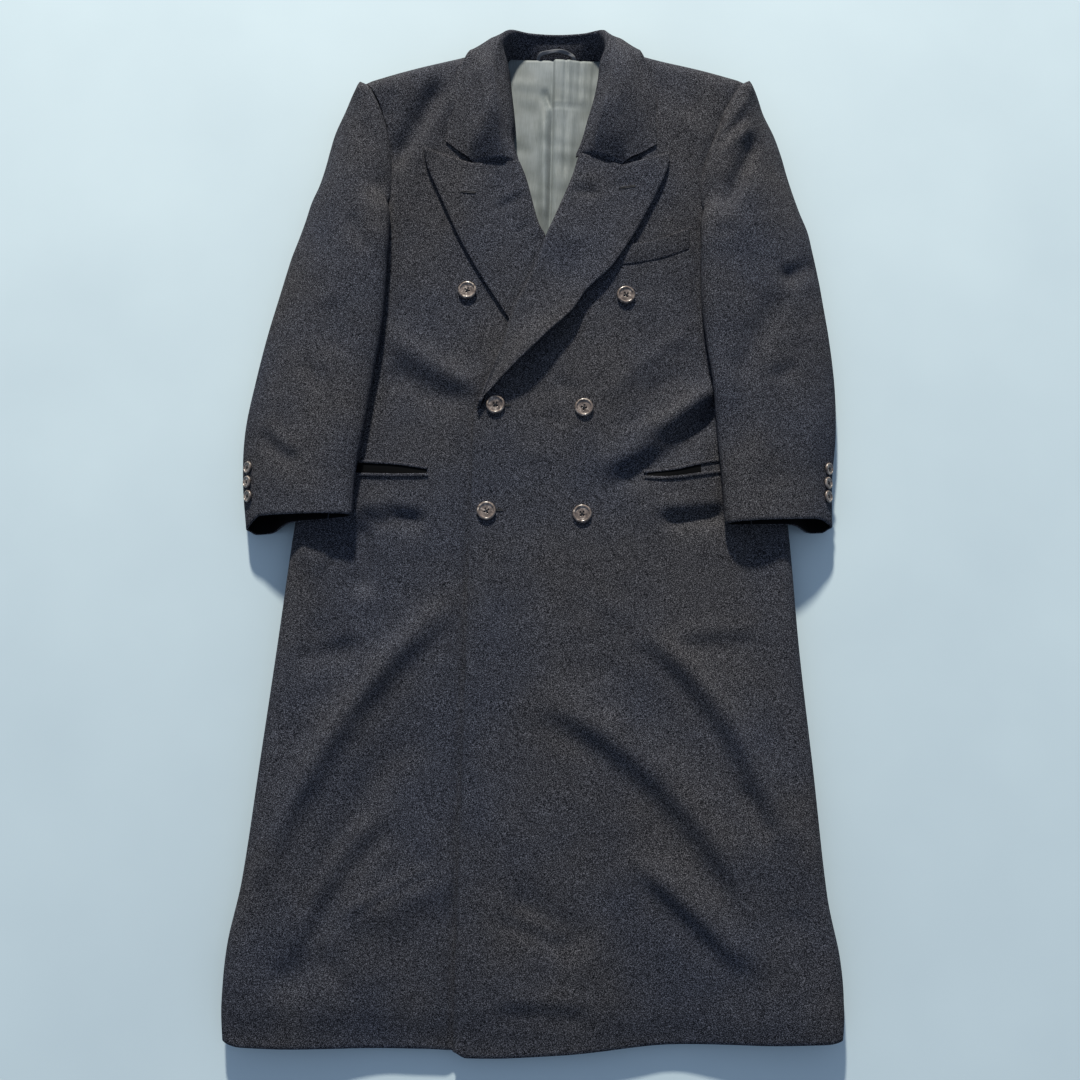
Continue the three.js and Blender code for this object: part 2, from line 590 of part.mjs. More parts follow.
// The two parts of the section where a sleeve row meets its seam: place of the seam and of the fold
function sleeveRow(side, i) {
  const sign = side === "left" ? -1 : 1;
  const top = frontTop(side);
  if (i < SLEEVE[side].length) {
    const row = SLEEVE[side][i];
    const share = (row.seam - row.foldX) / (row.outX - row.foldX);
    const seam = { x: row.seam, y: mix(row.foldY, row.outY, share) };
    const fold = { x: row.foldX, y: row.foldY };
    fold.z = top(fold.x, fold.y) + SLEEVE_CLEARANCE + FOLD_RISE;
    seam.z = top(seam.x, seam.y) + SLEEVE_CLEARANCE;
    return { row, seam, fold, turned: true };
  }
  const row = CAP[side][i - SLEEVE[side].length];
  const hole = ARMHOLE[side][i - SLEEVE[side].length];
  const turned = row.overhang > TURNED;
  if (hole.y === UNDERARM_Y) {
    // The seam crosses just above the body's corner, clear of its roll
    const seam = { x: hole.front - sign * UNDERARM_INSET, y: hole.y };
    const fold = { x: hole.front - sign * row.overhang, y: hole.y };
    seam.z = top(seam.x, seam.y) + SLEEVE_CLEARANCE;
    fold.z = top(fold.x, fold.y) + SLEEVE_CLEARANCE + FOLD_RISE;
    return { row, seam, fold, turned };
  }
  // The straight stretch between two rows of the head cuts the curve of the armhole at its top
  const apart = (SHOULDER[side].y - hole.y < 20 ? 4 : 2) * SEAM;
  const seam = { x: hole.front + sign * apart, y: hole.y, z: top(hole.front, hole.y) };
  if (turned) {
    seam.z += SEAM_RISE;
    const fold = { x: hole.front - sign * row.overhang, y: hole.y };
    fold.z = top(fold.x, fold.y) + SLEEVE_CLEARANCE + FOLD_RISE * Math.min(row.overhang / FULL_TURN, 1);
    return { row, seam, fold, turned };
  }
  const fold = { x: seam.x + sign * ROPE.width, y: hole.y, z: seam.z + ROPE.rise };
  return { row, seam, fold, turned };
}
const sleeveRowCount = (side) => SLEEVE[side].length + CAP[side].length;

// Top piece of a sleeve: from its seam beneath, round the inner fold, over the crown to the outer fold
function topSleeveRows(side) {
  const top = frontTop(side);
  const rows = [];
  for (let i = 0; i < sleeveRowCount(side); i += 1) {
    const { row, seam, fold, turned } = sleeveRow(side, i);
    const points = TURN_COLUMNS.map((t) => {
      const x = mix(seam.x, fold.x, t);
      const y = mix(seam.y, fold.y, t);
      const rest = turned && t > 0 ? top(x, y) + SLEEVE_CLEARANCE : mix(seam.z, fold.z, t);
      return point(x, y, rest);
    });
    TOP_COLUMNS.forEach((t) => {
      const outZ = row.edge / 2 + HALF_SEAM;
      const peak = row.crown - mix(fold.z, outZ, 0.4);
      const x = mix(fold.x, row.outX, t);
      const y = mix(fold.y, row.outY, t);
      const near = turned ? bulge(t) : bulge(Math.max(t, 0.5)) * (t < 0.5 ? Math.sin(Math.PI * t) : 1);
      points.push(point(x, y, mix(fold.z, outZ, t) + peak * near));
    });
    rows.push(points);
  }
  return rows;
}
const topRows = { left: topSleeveRows("left"), right: topSleeveRows("right") };
function topSleeve(side) {
  const rows = topRows[side];
  const last = rows[0].length - 1;
  const name = side === "left" ? "right_top_sleeve" : "left_top_sleeve";
  return cloth(name, rows, WALL, melton, side === "left" ? -1 : 1, (r, c) => c === last);
}

// Under piece of a sleeve: from the outer fold along the floor, up over the body's side to its seam,
// and above the underarm along the floor to the back's armhole
function underSleeve(side) {
  const sign = side === "left" ? -1 : 1;
  const rows = [];
  for (let i = 0; i < sleeveRowCount(side); i += 1) {
    const { row, seam, fold } = sleeveRow(side, i);
    const below = i < SLEEVE[side].length;
    const hole = ARMHOLE[side][i - SLEEVE[side].length];
    const underarm = i === SLEEVE[side].length;
    const nearTop = !below && SHOULDER[side].y - hole.y < 20;
    const aside = underarm ? UNDERARM_PASS.out : (nearTop ? 7 : 2) * SEAM;
    const endX = below ? seam.x + sign * SEAM : hole.back + sign * aside;
    const endY = below ? seam.y : fold.y + (underarm ? UNDERARM_PASS.up : 0);
    const outZ = row.edge / 2 - HALF_SEAM;
    // What the cloth rests on: the body's side, the corner of the underarm, or the back's curled edge
    const support = (x, y, t) => {
      if (below) return sleeveSupport(side, x, y);
      return underarm ? (sideHeight(y) / 2) * smooth(0.4, 1, t) : bodyBottom(hole.back, hole.y);
    };
    rows.push(UNDER_COLUMNS.map((t) => {
      const x = mix(row.outX, endX, t);
      const y = mix(row.outY, endY, t);
      const rest = support(x, y, t);
      const roll = 1 - Math.sqrt(1 - (1 - Math.min(Math.abs(x - row.outX) / SLEEVE_ROLL, 1)) ** 2);
      return point(x, y, mix(rest, outZ, roll));
    }));
  }
  const name = side === "left" ? "right_under_sleeve" : "left_under_sleeve";
  return cloth(name, rows, WALL, melton, sign, (r, c) => c === 0);
}

// Section of a turned piece at its break: distance out from the break, and height over the front
const CURL = [
  { out: 0.9, up: -2.9 },
  { out: 0, up: -0.5 },
  { out: 0.8, up: 2.2 },
  { out: 3.4, up: 4.6 },
];
const TURNED_SHARES = [0.16, 0.34, 0.5, 0.66, 0.84, 1];
const ROLL_PUFF = 2.2;
const TUCK = 12;

// A lapel: turned back at its break, over its own front, out to the free edge. The lower part of the
// one that lies beneath is tucked under the lapped front instead
function lapel(side) {
  const sign = side === "left" ? -1 : 1;
  const top = frontTop(side);
  const breakX = side === "left" ? underBreak : overBreak;
  const lying = (x, y) => top(x, y) + LAPEL_CLEARANCE + WALL;
  const rows = LAPEL[side].map((row) => {
    const tucked = side === "left" && row.y < TUCK_BELOW_Y;
    const startX = tucked ? overBreak(row.y) + TUCK * smooth(TUCK_BELOW_Y, 360, row.y) : breakX(row.y);
    const midX = row.midX ?? mix(startX, row.edgeX, 0.5);
    const midY = row.midY ?? mix(row.y, row.edgeY, 0.5);
    const puff = (t) => (tucked ? 0 : ROLL_PUFF * Math.exp(-((t / 0.3) ** 2)));
    const { out: reach, up: crest } = CURL.at(-1);
    const points = CURL.map(({ out, up }, i) => {
      const x = startX + sign * (tucked ? (reach * i) / (CURL.length - 1) : out);
      const curled = top(x, row.y) + up + (puff(0) * Math.max(up, 0)) / crest;
      return point(x, row.y, tucked ? lying(x, row.y) : curled);
    });
    TURNED_SHARES.forEach((t) => {
      const half = t * 2;
      const near = half <= 1;
      const x = near ? mix(startX + sign * reach, midX, half) : mix(midX, row.edgeX, half - 1);
      const y = near ? mix(row.y, midY, half) : mix(midY, row.edgeY, half - 1);
      points.push(point(x, y, lying(x, y) + puff(t) + row.lift * smooth(0, 1, t)));
    });
    return points;
  });
  const name = side === "left" ? "right_lapel" : "left_lapel";
  return cloth(name, rows, WALL, melton, -sign);
}

// The collar: its stand rises from the neck seam, folds, and falls over the shoulders and, behind,
// to the floor
function collar() {
  const front = (x, y) => (x < 0 ? underTop : overTop)(x, y);
  const fallRest = (x, y) => {
    const beyond = y - shoulderY(x);
    const inside = Math.min(y, shoulderY(x) - SHOULDER_ROLL);
    return front(x, inside) * smooth(36, -8, beyond) + COLLAR_FLOOR;
  };
  const foldHeightAt = column(COLLAR_FOLD, "x", "z");
  const rows = COLLAR.map((row) => {
    const behind = smooth(COLLAR_FALL_Y.start, COLLAR_FALL_Y.behind, row.foldY);
    const neckTop = front(row.foldX, Math.min(row.foldY, NECK_SEAM_Y - SHOULDER_ROLL));
    const footZ = mix(neckTop - 3, COLLAR_FOOT_Z, behind);
    const foldZ = mix(neckTop + 2, foldHeightAt(Math.abs(row.foldX)), behind);
    const lean = mix(0, 1, behind);
    const points = [
      point(row.footX, row.footY, footZ),
      point(mix(row.footX, row.foldX, 0.45 + 0.1 * lean), mix(row.footY, row.foldY, 0.5), mix(footZ, foldZ, 0.5)),
      point(row.foldX, row.foldY, foldZ),
    ];
    const away = { x: row.midX - row.foldX, y: row.midY - row.foldY };
    const length = Math.hypot(away.x, away.y);
    COLLAR_ROLL.forEach(({ out, up }) => {
      points.push(point(row.foldX + (away.x * out) / length, row.foldY + (away.y * out) / length, foldZ + up));
    });
    const start = points.at(-1);
    const edgeZ = fallRest(row.edgeX, row.edgeY);
    TURNED_SHARES.slice(1).forEach((t) => {
      const near = t <= 0.5;
      const x = near ? mix(start.x, row.midX, 2 * t) : mix(row.midX, row.edgeX, 2 * t - 1);
      const y = near ? mix(start.y, row.midY, 2 * t) : mix(row.midY, row.edgeY, 2 * t - 1);
      const lying = fallRest(x, y) + LAPEL_CLEARANCE + ROLL_PUFF * Math.exp(-((t / 0.3) ** 2));
      points.push(point(x, y, mix(lying, mix(start.z, edgeZ, t), behind)));
    });
    return points;
  });
  return cloth("collar", rows, WALL, melton, -1);
}

// Lining seen in the neck: a pleat down its middle laps one side over the other
function lining() {
  const rows = [];
  for (let r = 0; r <= LINING.rows; r += 1) {
    const y = mix(LINING.lowY, LINING.highY, r / LINING.rows);
    const tuck = LINING.tuck * smooth(LINING.highY - 5, LINING.highY - 50, y) - 1;
    const low = underBreak(y) - tuck;
    const high = overBreak(y) + tuck;
    rows.push(LINING.shares.map((share) => {
      const x = share < 0 ? low * -share : high * share;
      const pleat = LINING.pleat * smooth(-3, 0.5, x) * (1 - smooth(6, 42, x));
      return point(x, y, WALL + SEAM + LINING_WALL + pleat);
    }));
  }
  return cloth("back_lining", rows, LINING_WALL, satin, 1);
}

function hangerLoop() {
  const arc = (grow) => {
    const points = [];
    for (let i = 0; i <= LOOP.steps; i += 1) {
      const angle = Math.PI * (1 - i / LOOP.steps);
      const x = LOOP.x + (LOOP.halfWidth + grow) * Math.cos(angle);
      const rise = (LOOP.rise + grow) * Math.sin(angle) ** 0.7;
      points.push(point(x, LOOP.y, LOOP.footZ + rise));
    }
    return points;
  };
  return cloth("hanger_loop", [arc(0), arc(LOOP.width)], LOOP.wall, strap, 1);
}

// A flat piece sewn on a front: a grid of the front's own points, moved out
function applied(name, side, corner, counts, wall) {
  const top = side === "left" ? underFacets : overFacets;
  const rows = [];
  for (let r = 0; r <= counts.up; r += 1) {
    const row = [];
    for (let c = 0; c <= counts.along; c += 1) {
      const { x, y } = corner(c / counts.along, r / counts.up);
      row.push(point(x, y, top(x, y) + APPLIED_STAND + wall));
    }
    rows.push(row);
  }
  return cloth(name, rows, wall, melton, 1);
}
function jet({ name, x1, y1, x2, y2, width }) {
  const corner = (t, up) => ({ x: mix(x1, x2, t), y: mix(y1, y2, t) + (up - 0.5) * width });
  return applied(name, x1 < 0 ? "left" : "right", corner, { along: 12, up: 2 }, JET_WALL);
}
function breastWelt() {
  const corner = (t, up) => {
    const y = mix(mix(WELT.lower1, WELT.lower2, t), mix(WELT.upper1, WELT.upper2, t), up);
    return { x: mix(WELT.x1, WELT.x2, t), y: y - WELT.sag * Math.sin(Math.PI * t) };
  };
  return applied("breast_welt", "right", corner, { along: 8, up: 3 }, JET_WALL);
}

// A button turned in one piece: flat back, round rim, dished face
function buttonShape({ radius, height, rim, dish, sides }) {
  const profile = [
    [0, 0],
    [radius * 0.82, 0],
    [radius, height * 0.35],
    [radius, height * 0.7],
    [radius - rim * 0.5, height],
    [radius - rim, height * 0.96],
    [radius - 2 * rim, height - dish],
    [0, height - dish],
  ];
  const lathe = new THREE.LatheGeometry(profile.map(([r, z]) => new THREE.Vector2(r, z)), sides);
  return lathe.rotateX(Math.PI / 2);
}
function placeButton(name, size, place, normal) {
  const button = named(name, buttonShape(size), horn);
  button.quaternion.setFromUnitVectors(point(0, 0, 1), normal);
  button.position.copy(place).addScaledVector(normal, BUTTON_STAND);
  return button;
}
// Seats a button on the highest of the places under it
function seated(name, size, centre, normal, around) {
  const rise = Math.max(0, ...around.map((place) => place.clone().sub(centre).dot(normal)));
  return placeButton(name, size, centre.clone().addScaledVector(normal, rise), normal);
}
function frontButton({ name, x, y }) {
  const reach = FRONT_BUTTON.radius;
  const surface = x > OVERLAP_EDGE_X ? overFacets : underFacets;
  const at = (dx, dy) => point(x + dx, y + dy, surface(x + dx, y + dy));
  const around = [at(reach, 0), at(-reach, 0), at(0, reach), at(0, -reach)];
  const normal = around[0].clone().sub(around[1]).cross(around[2].clone().sub(around[3])).normalize();
  return seated(name, FRONT_BUTTON, at(0, 0), normal, around);
}
// A place on a top sleeve's own facets, at a share of the way from its inner to its outer fold
function sleeveFacet(rows, share, y) {
  const c = TOP_COLUMNS.findIndex((t) => t > share) - 1;
  const t = (share - TOP_COLUMNS[c]) / (TOP_COLUMNS[c + 1] - TOP_COLUMNS[c]);
  const [first, next] = [TURN_COLUMNS.length + c, TURN_COLUMNS.length + c + 1];
  const line = rows.map((row) => row[first].clone().lerp(row[next], t));
  const r = line.findIndex((p) => p.y > y) - 1;
  return line[r].clone().lerp(line[r + 1], (y - line[r].y) / (line[r + 1].y - line[r].y));
}
function cuffButton(side, y, i) {
  const at = (share, dy) => sleeveFacet(topRows[side], CUFF_BUTTON_SHARE + share, y + dy);
  const reach = CUFF_BUTTON.radius;
  const across = at(0.05, 0).sub(at(-0.05, 0));
  const normal = across.cross(at(0, reach).sub(at(0, -reach))).normalize();
  if (normal.z < 0) normal.negate();
  const around = [-0.05, -0.02, 0.02, 0.05].flatMap((share) => [-reach, 0, reach].map((dy) => at(share, dy)));
  const name = `${side === "left" ? "right" : "left"}_cuff_button_${i + 1}`;
  return seated(name, CUFF_BUTTON, at(0, 0), normal, around);
}

const coat = new THREE.Group();
coat.position.set(-ORIGIN.x, -ORIGIN.y, 0);
coat.add(back(), lining(), hangerLoop(), rightFront(), leftFront());
coat.add(topSleeve("left"), topSleeve("right"), underSleeve("left"), underSleeve("right"));
coat.add(lapel("left"), lapel("right"), collar(), breastWelt(), ...JETS.map(jet));
coat.add(...FRONT_BUTTONS.map(frontButton));
["left", "right"].forEach((side) => {
  coat.add(...CUFF_BUTTONS[side].map((y, i) => cuffButton(side, y, i)));
});
export default coat;
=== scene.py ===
"""Double-breasted cashmere overcoat with peak lapels, buttoned and laid flat on a pale floor.

Every piece of cloth is a thin shell on the form of its solid: the tables below are the coat's own
sizes in millimetres, with X to the wearer's left, Y up to the collar and Z up from the floor.
"""

import math

import bpy
import numpy as np
from mathutils import Matrix, Vector
from mathutils.bvhtree import BVHTree


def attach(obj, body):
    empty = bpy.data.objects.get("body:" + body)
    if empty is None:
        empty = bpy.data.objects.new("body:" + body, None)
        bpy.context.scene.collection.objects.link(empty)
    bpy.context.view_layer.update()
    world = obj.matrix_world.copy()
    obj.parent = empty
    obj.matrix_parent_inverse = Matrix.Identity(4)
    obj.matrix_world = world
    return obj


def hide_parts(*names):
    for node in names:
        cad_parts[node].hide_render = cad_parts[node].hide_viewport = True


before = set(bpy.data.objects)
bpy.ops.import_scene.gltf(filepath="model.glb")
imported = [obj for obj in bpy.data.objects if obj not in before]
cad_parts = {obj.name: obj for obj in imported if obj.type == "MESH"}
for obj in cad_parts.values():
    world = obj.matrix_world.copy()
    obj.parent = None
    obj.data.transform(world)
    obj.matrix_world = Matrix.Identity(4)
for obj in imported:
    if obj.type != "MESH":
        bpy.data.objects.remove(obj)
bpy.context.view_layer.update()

bl_info = {
    "name": "Cashmere overcoat, laid flat",
    "version": (1, 0, 0),
    "blender": (4, 5, 0),
    "location": "View3D > Sidebar > Overcoat",
    "description": "Builds a double-breasted cashmere overcoat lying on a floor, piece by piece",
    "category": "Add Mesh",
}

MM = 0.001

# Which way each side of the picture lies on X; the wearer's own sides are the other way round
SIGN = {"left": -1, "right": 1}


def table(names, *rows):
    """A table with named columns, one row for each section or fold."""
    return {name: np.array([row[i] for row in rows], float) for i, name in enumerate(names.split())}


# Cloth and seams, in millimetres
WALL = 2.4
LINING_WALL = 1.2
JET_WALL = 1.4
SEAM = 0.3
HALF_SEAM = SEAM / 2

# Main sizes of the garment
HEM_Y = -590
UNDERARM_Y = 345
NECK_POINT_X = 66
NECK_SEAM_Y = 664
OVERLAP_EDGE_X = -91
UNDERLAP_EDGE_X = 66
LAPEL_BREAK_Y = 158

# How the layers lie on each other
SIDE_ROLL = 22
SHOULDER_ROLL = 26
SLEEVE_ROLL = 18
OVERLAP_LIFT = 4.2
ROLL_LINE_LIFT = 5.6
UNDERLAP_SINK = 5
BACK_HEM_SHORTER = 3
LAPEL_CLEARANCE = 1.5
SLEEVE_CLEARANCE = 3.4
APPLIED_STAND = 0.2

# The middle of the coat's own box is the frame's origin
ORIGIN_X, ORIGIN_Y = -8.0, 50.5

# Step between the rows of the cloth's grids
ROW_GAP = 4.6

# How far the fronts are pressed down along the armhole seams, and how wide
SEAM_DIP, SEAM_DIP_WIDTH = 2.2, 6

# Body: side edges, and heights of the side rolls and of the middle
BODY = table(
    "y left right side middle",
    (-600, -352, 351, 29, 18), (-545, -357, 355, 34, 23), (-480, -355, 351, 36, 27),
    (-408, -343, 338, 37, 30), (-271, -331, 325, 38, 33), (-129, -319, 311, 38, 36),
    (0, -309, 302, 37, 38), (120, -297, 291, 37, 40), (240, -284, 279, 37, 42),
    (345, -274, 270, 40, 44), (480, -274, 271, 52, 46), (590, -274, 273, 58, 48),
    (700, -274, 273, 58, 46),
)

# Largest folds of the fronts: soft ridges, or troughs where the height is negative
FOLDS = table(
    "x1 y1 x2 y2 bow height width",
    (-118, -95, -312, -420, 26, 9, 26), (-165, -240, -262, -480, 12, -6, 24),
    (-285, -128, -225, -140, 0, -6, 22), (-90, -392, -215, -446, -6, 4, 20),
    (-300, -520, -225, -492, 0, -6, 22), (10, -180, 258, -410, -24, 9, 26),
    (130, -112, 306, -395, -22, 8, 24), (112, -376, 262, -492, -8, 7, 22),
    (-30, -420, 60, -470, 4, -5, 22), (70, 88, 214, 206, 8, 9, 17),
    (76, 62, 216, 170, 6, -6, 16), (-205, 248, -88, 186, 6, 6, 20),
    (-196, 212, -110, 166, 4, -5, 18), (150, 18, 222, 40, 0, -5, 20),
    (-200, 20, -145, 20, 0, -4, 18),
)

# Finer creases of the fronts
FRONT_CREASES = table(
    "x1 y1 x2 y2 bow height width",
    (-124, -88, -316, -404, 25, 5, 14), (-104, -104, -292, -400, 24, -5.5, 17),
    (-290, -132, -212, -116, 2, 2.2, 12), (-290, -152, -216, -140, 2, -2, 13),
    (-186, -326, -282, -490, 10, 4, 12), (-168, -340, -262, -500, 10, -3.5, 12),
    (-218, -441, -119, -386, -3, 1.6, 5), (-212, -450, -116, -396, -3, -1, 6),
    (14, -200, 250, -436, -31, 3.6, 13), (-2, -218, 232, -452, -30, -2.8, 15),
    (131, -112, 276, -330, -21, 4.5, 12), (114, -126, 256, -338, -20, -4, 13),
    (236, -290, 268, -345, -3, -3, 9), (160, -110, 254, -101, 2, 2, 12),
    (160, -128, 254, -119, 2, -2, 13), (122, -378, 238, -486, -2, 3, 10),
    (108, -390, 222, -498, -2, -2.5, 12), (-41, -430, 42, -461, 2, 2.2, 10),
    (-44, -444, 36, -476, 2, -2.2, 10), (-43, -531, 62, -533, 0, 1.8, 12),
    (-43, -548, 62, -550, 0, -2, 12), (60, -154, 98, -167, 0, -1.5, 12),
    (296, -425, 312, -456, 0, -2, 10), (-148, 590, -203, 480, 0, -9, 12),
    (-245, 556, -130, 606, 0, 6, 34), (-222, 20, -216, -72, 0, -12, 16),
    (-94.5, 70, -93.5, -610, 0, -5, 4), (-300, -20, -262, -34, 0, 4, 22),
    (-126, 582, -180, 476, 0, 4, 14),
    (-206, 574, -215, 540, 0, -2, 10), (-212, 268, -86, 186, 2, 2.2, 11),
    (-222, 246, -92, 166, 2, -2, 13), (-220, 63, -151, 65, 0, -1.2, 4),
    (-226, 30, -190, 14, 2, -3.5, 8), (-188, 20, -146, 18, -2, -3, 8),
    (-222, 42, -150, 34, -2, 2.5, 9), (80, 122, 212, 196, 4, 4, 10),
    (130, 122, 214, 172, 2, -4, 9), (76, 184, 172, 266, -3, 2.5, 11),
    (118, 184, 170, 216, 0, -2.2, 10), (9, 196, 38, 184, 0, -2, 9),
    (0, 152, 24, 142, 0, -1.6, 9), (140, 26, 222, 38, 2, -5, 9),
    (136, 44, 216, 54, 2, 3, 10), (112, 356, 120, 314, 0, -1.5, 9),
    (-68, 272, -67, 230, 0, -1.2, 9), (-130, -330, -170, -470, -5, 1.3, 16),
    (-262, -300, -318, -430, 6, -2.2, 13), (60, -60, 110, -96, 4, 1.2, 13),
    (-50, 112, 20, 104, 3, 1.0, 14), (205, -290, 300, -430, -8, 1.8, 13),
    (-75, -300, -20, -360, 6, 1.2, 15), (-160, 380, -190, 300, 3, 1.2, 14),
    (140, 480, 178, 420, 4, 1.4, 13), (150, 560, 200, 520, 3, 1.4, 12),
)

# Shoulder seams run straight from the shoulder point to the neck point
SHOULDER = {
    "left": {"x": -252, "y": 598, "neck_y": 663},
    "right": {"x": 252, "y": 611, "neck_y": 664},
}

# Hem of the fronts
HEM = table(
    "x y",
    (-356, -583), (-330, -590), (-155, -589), (-92, -590), (-75, -597), (38, -591),
    (146, -578), (330, -571), (356, -566),
)

# Armholes: edge of the front above the underarm, and edge of the back below it
ARMHOLE = {
    "left": table(
        "y front back",
        (345, -272, -272), (362, -249, -252), (385, -229, -238), (412, -214, -226),
        (440, -207, -218), (470, -207, -215), (502, -210, -217), (533, -216, -220),
        (562, -226, -229), (583, -238, -239), (592, -245, -245), (598, -251, -251),
    ),
    "right": table(
        "y front back",
        (345, 268, 268), (362, 243, 248), (385, 220, 233), (412, 200, 220),
        (440, 190, 212), (474, 191, 208), (508, 200, 210), (537, 211, 216),
        (570, 224, 227), (596, 239, 240), (605, 245, 245), (611, 251, 251),
    ),
}

# Break lines, from the first fastened button up to the neck
BREAK = {
    "over": table(
        "y x",
        (158, -88), (185, -80), (241, -60), (293, -44), (331, -27), (383, -8), (429, 10),
        (470, 25), (503, 34), (541, 47), (576, 56), (612, 62), (660, 65),
    ),
    "under": table(
        "y x",
        (158, 66), (241, 40), (293, 24), (331, 7), (388, -9), (415, -19), (465, -33),
        (483, -40), (517, -54), (573, -60), (630, -64), (660, -65),
    ),
}

# Sleeves: fold on the body's side, outer fold, seam beneath, height of the crown
SLEEVE = {
    "left": table(
        "fold_y fold_x out_y out_x seam crown edge",
        (21, -232, 6, -368, -262, 62, 27), (70, -231, 62, -376, -260, 60, 27),
        (135, -223, 128, -378, -254, 60, 28), (200, -215, 196, -369, -248, 61, 29),
        (250, -209, 262, -357, -248, 62, 30), (290, -206, 310, -346, -256, 64, 30),
        (325, -205, 345, -338, -264, 65, 30),
    ),
    "right": table(
        "fold_y fold_x out_y out_x seam crown edge",
        (21, 217, 26, 355, 250, 62, 27), (70, 214, 80, 356, 246, 60, 27),
        (135, 208, 145, 362, 240, 60, 28), (200, 202, 209, 362, 236, 61, 29),
        (250, 195, 270, 356, 240, 62, 30), (290, 190, 312, 350, 249, 64, 30),
        (325, 188, 345, 345, 259, 65, 30),
    ),
}

# Sleeve heads, a row for each row of the armhole
CAP = {
    "left": table(
        "out_y out_x crown overhang edge",
        (362, -334, 65, 67, 30), (388, -326, 66, 45, 30), (412, -319, 67, 25, 30),
        (436, -313, 67, 9, 30), (460, -304, 67, 0, 30), (484, -298, 66, 0, 30),
        (510, -293, 65, 0, 30), (536, -287, 64, 0, 31), (560, -277, 63, 0, 33),
        (579, -268, 60, 0, 37), (588, -262, 50, 0, 45), (594, -257, 29, 0, 57),
    ),
    "right": table(
        "out_y out_x crown overhang edge",
        (362, 342, 65, 80, 30), (388, 337, 66, 55, 30), (412, 332, 67, 32, 30),
        (438, 322, 67, 11, 30), (462, 314, 67, 0, 30), (490, 306, 66, 0, 30),
        (518, 299, 65, 0, 30), (545, 290, 64, 0, 31), (571, 277, 63, 0, 33),
        (592, 268, 60, 0, 37), (601, 262, 50, 0, 45), (607, 257, 29, 0, 57),
    ),
}

# Dents and ridges of the sleeves' tops
SLEEVE_CREASES = table(
    "x1 y1 x2 y2 bow height width",
    (-251, 404, -227, 352, 2, -3.5, 9), (-269, 290, -266, 220, 3, -3, 16),
    (-304, 214, -270, 180, 2, -2.6, 11), (-352, 124, -305, 84, 3, -4, 9),
    (-346, 138, -300, 98, 3, 2.2, 9), (-241, 536, -230, 492, 1, -2.5, 9),
    (-262, 540, -257, 496, 0, 1.5, 8), (-318, 470, -305, 380, 3, 1.6, 15),
    (-246, 160, -238, 80, 2, 1.6, 12), (-330, 60, -262, 44, 2, 1.2, 14),
    (203, 527, 250, 577, 2, 3.2, 7), (207, 512, 245, 550, 0, -3.5, 7),
    (211, 496, 254, 538, 0, 3, 7), (216, 418, 258, 524, 0, -9, 10),
    (336, 366, 290, 334, 0, -9, 12), (338, 378, 296, 350, 0, 3, 10),
    (288, 313, 228, 200, 0, -6, 17), (275, 202, 308, 222, 0, -3.5, 10),
    (206, 386, 228, 393, 0, -2.5, 8), (312, 280, 344, 295, 0, -2.5, 10),
    (226, 250, 216, 160, 2, 1.8, 12), (345, 180, 320, 96, 3, 1.4, 15),
    (270, 130, 240, 74, 3, 1.2, 13), (300, 90, 250, 56, 2, -1.4, 14),
)

# Lapels: outer edge, its lift, and a point on the way to it, which is the notch's inner corner
LAPEL = {
    "left": table(
        "y mid_x mid_y edge_x edge_y lift",
        (488, -104, 484, -165, 500, 1.5), (472, -98, 470, -160, 476, 1.5),
        (442, np.nan, np.nan, -147, 447, 1.5), (415, np.nan, np.nan, -133, 417, 1.5),
        (388, np.nan, np.nan, -119, 388, 1.5), (362, np.nan, np.nan, -105, 362, 1.5),
        (335, np.nan, np.nan, -89, 335, 1), (308, np.nan, np.nan, -70, 306, 1),
        (280, np.nan, np.nan, -52, 280, 0.6), (255, np.nan, np.nan, -36, 256, 0.4),
    ),
    "right": table(
        "y mid_x mid_y edge_x edge_y lift",
        (498, 88, 483.5, 148, 502, 2.5), (478, 87, 470, 146, 480, 2.5),
        (455, 80, 452, 134, 450, 2.5), (429, np.nan, np.nan, 121, 423, 3),
        (406, np.nan, np.nan, 108, 397, 3.5), (383, np.nan, np.nan, 92, 369, 4.5),
        (357, np.nan, np.nan, 74, 342, 6), (331, np.nan, np.nan, 46, 313, 9),
        (300, np.nan, np.nan, 28, 284, 13), (270, np.nan, np.nan, 4, 259, 17),
        (241, np.nan, np.nan, -20, 233, 17), (212, np.nan, np.nan, -45, 208, 13),
        (185, np.nan, np.nan, -66, 186, 7), (160, np.nan, np.nan, -84, 168, 2),
    ),
}

# Small ripples of the lapels near their breaks
LAPEL_CREASES = table(
    "x1 y1 x2 y2 bow height width",
    (-70, 421, -37, 444, 1, -2.2, 6), (-62, 436, -34, 456, 1, 1.4, 6),
    (-46, 388, -22, 409, 1, -2.0, 6), (-78, 470, -96, 430, 3, 1.0, 9),
    (20, 448, 58, 444, 1, -2.0, 6), (80, 452, 108, 461, 0, -1.4, 7),
    (24, 462, 60, 460, 0, 1.2, 7), (20, 380, 60, 400, 4, 1.0, 12),
    (60, 420, 100, 440, 3, -0.8, 11),
)

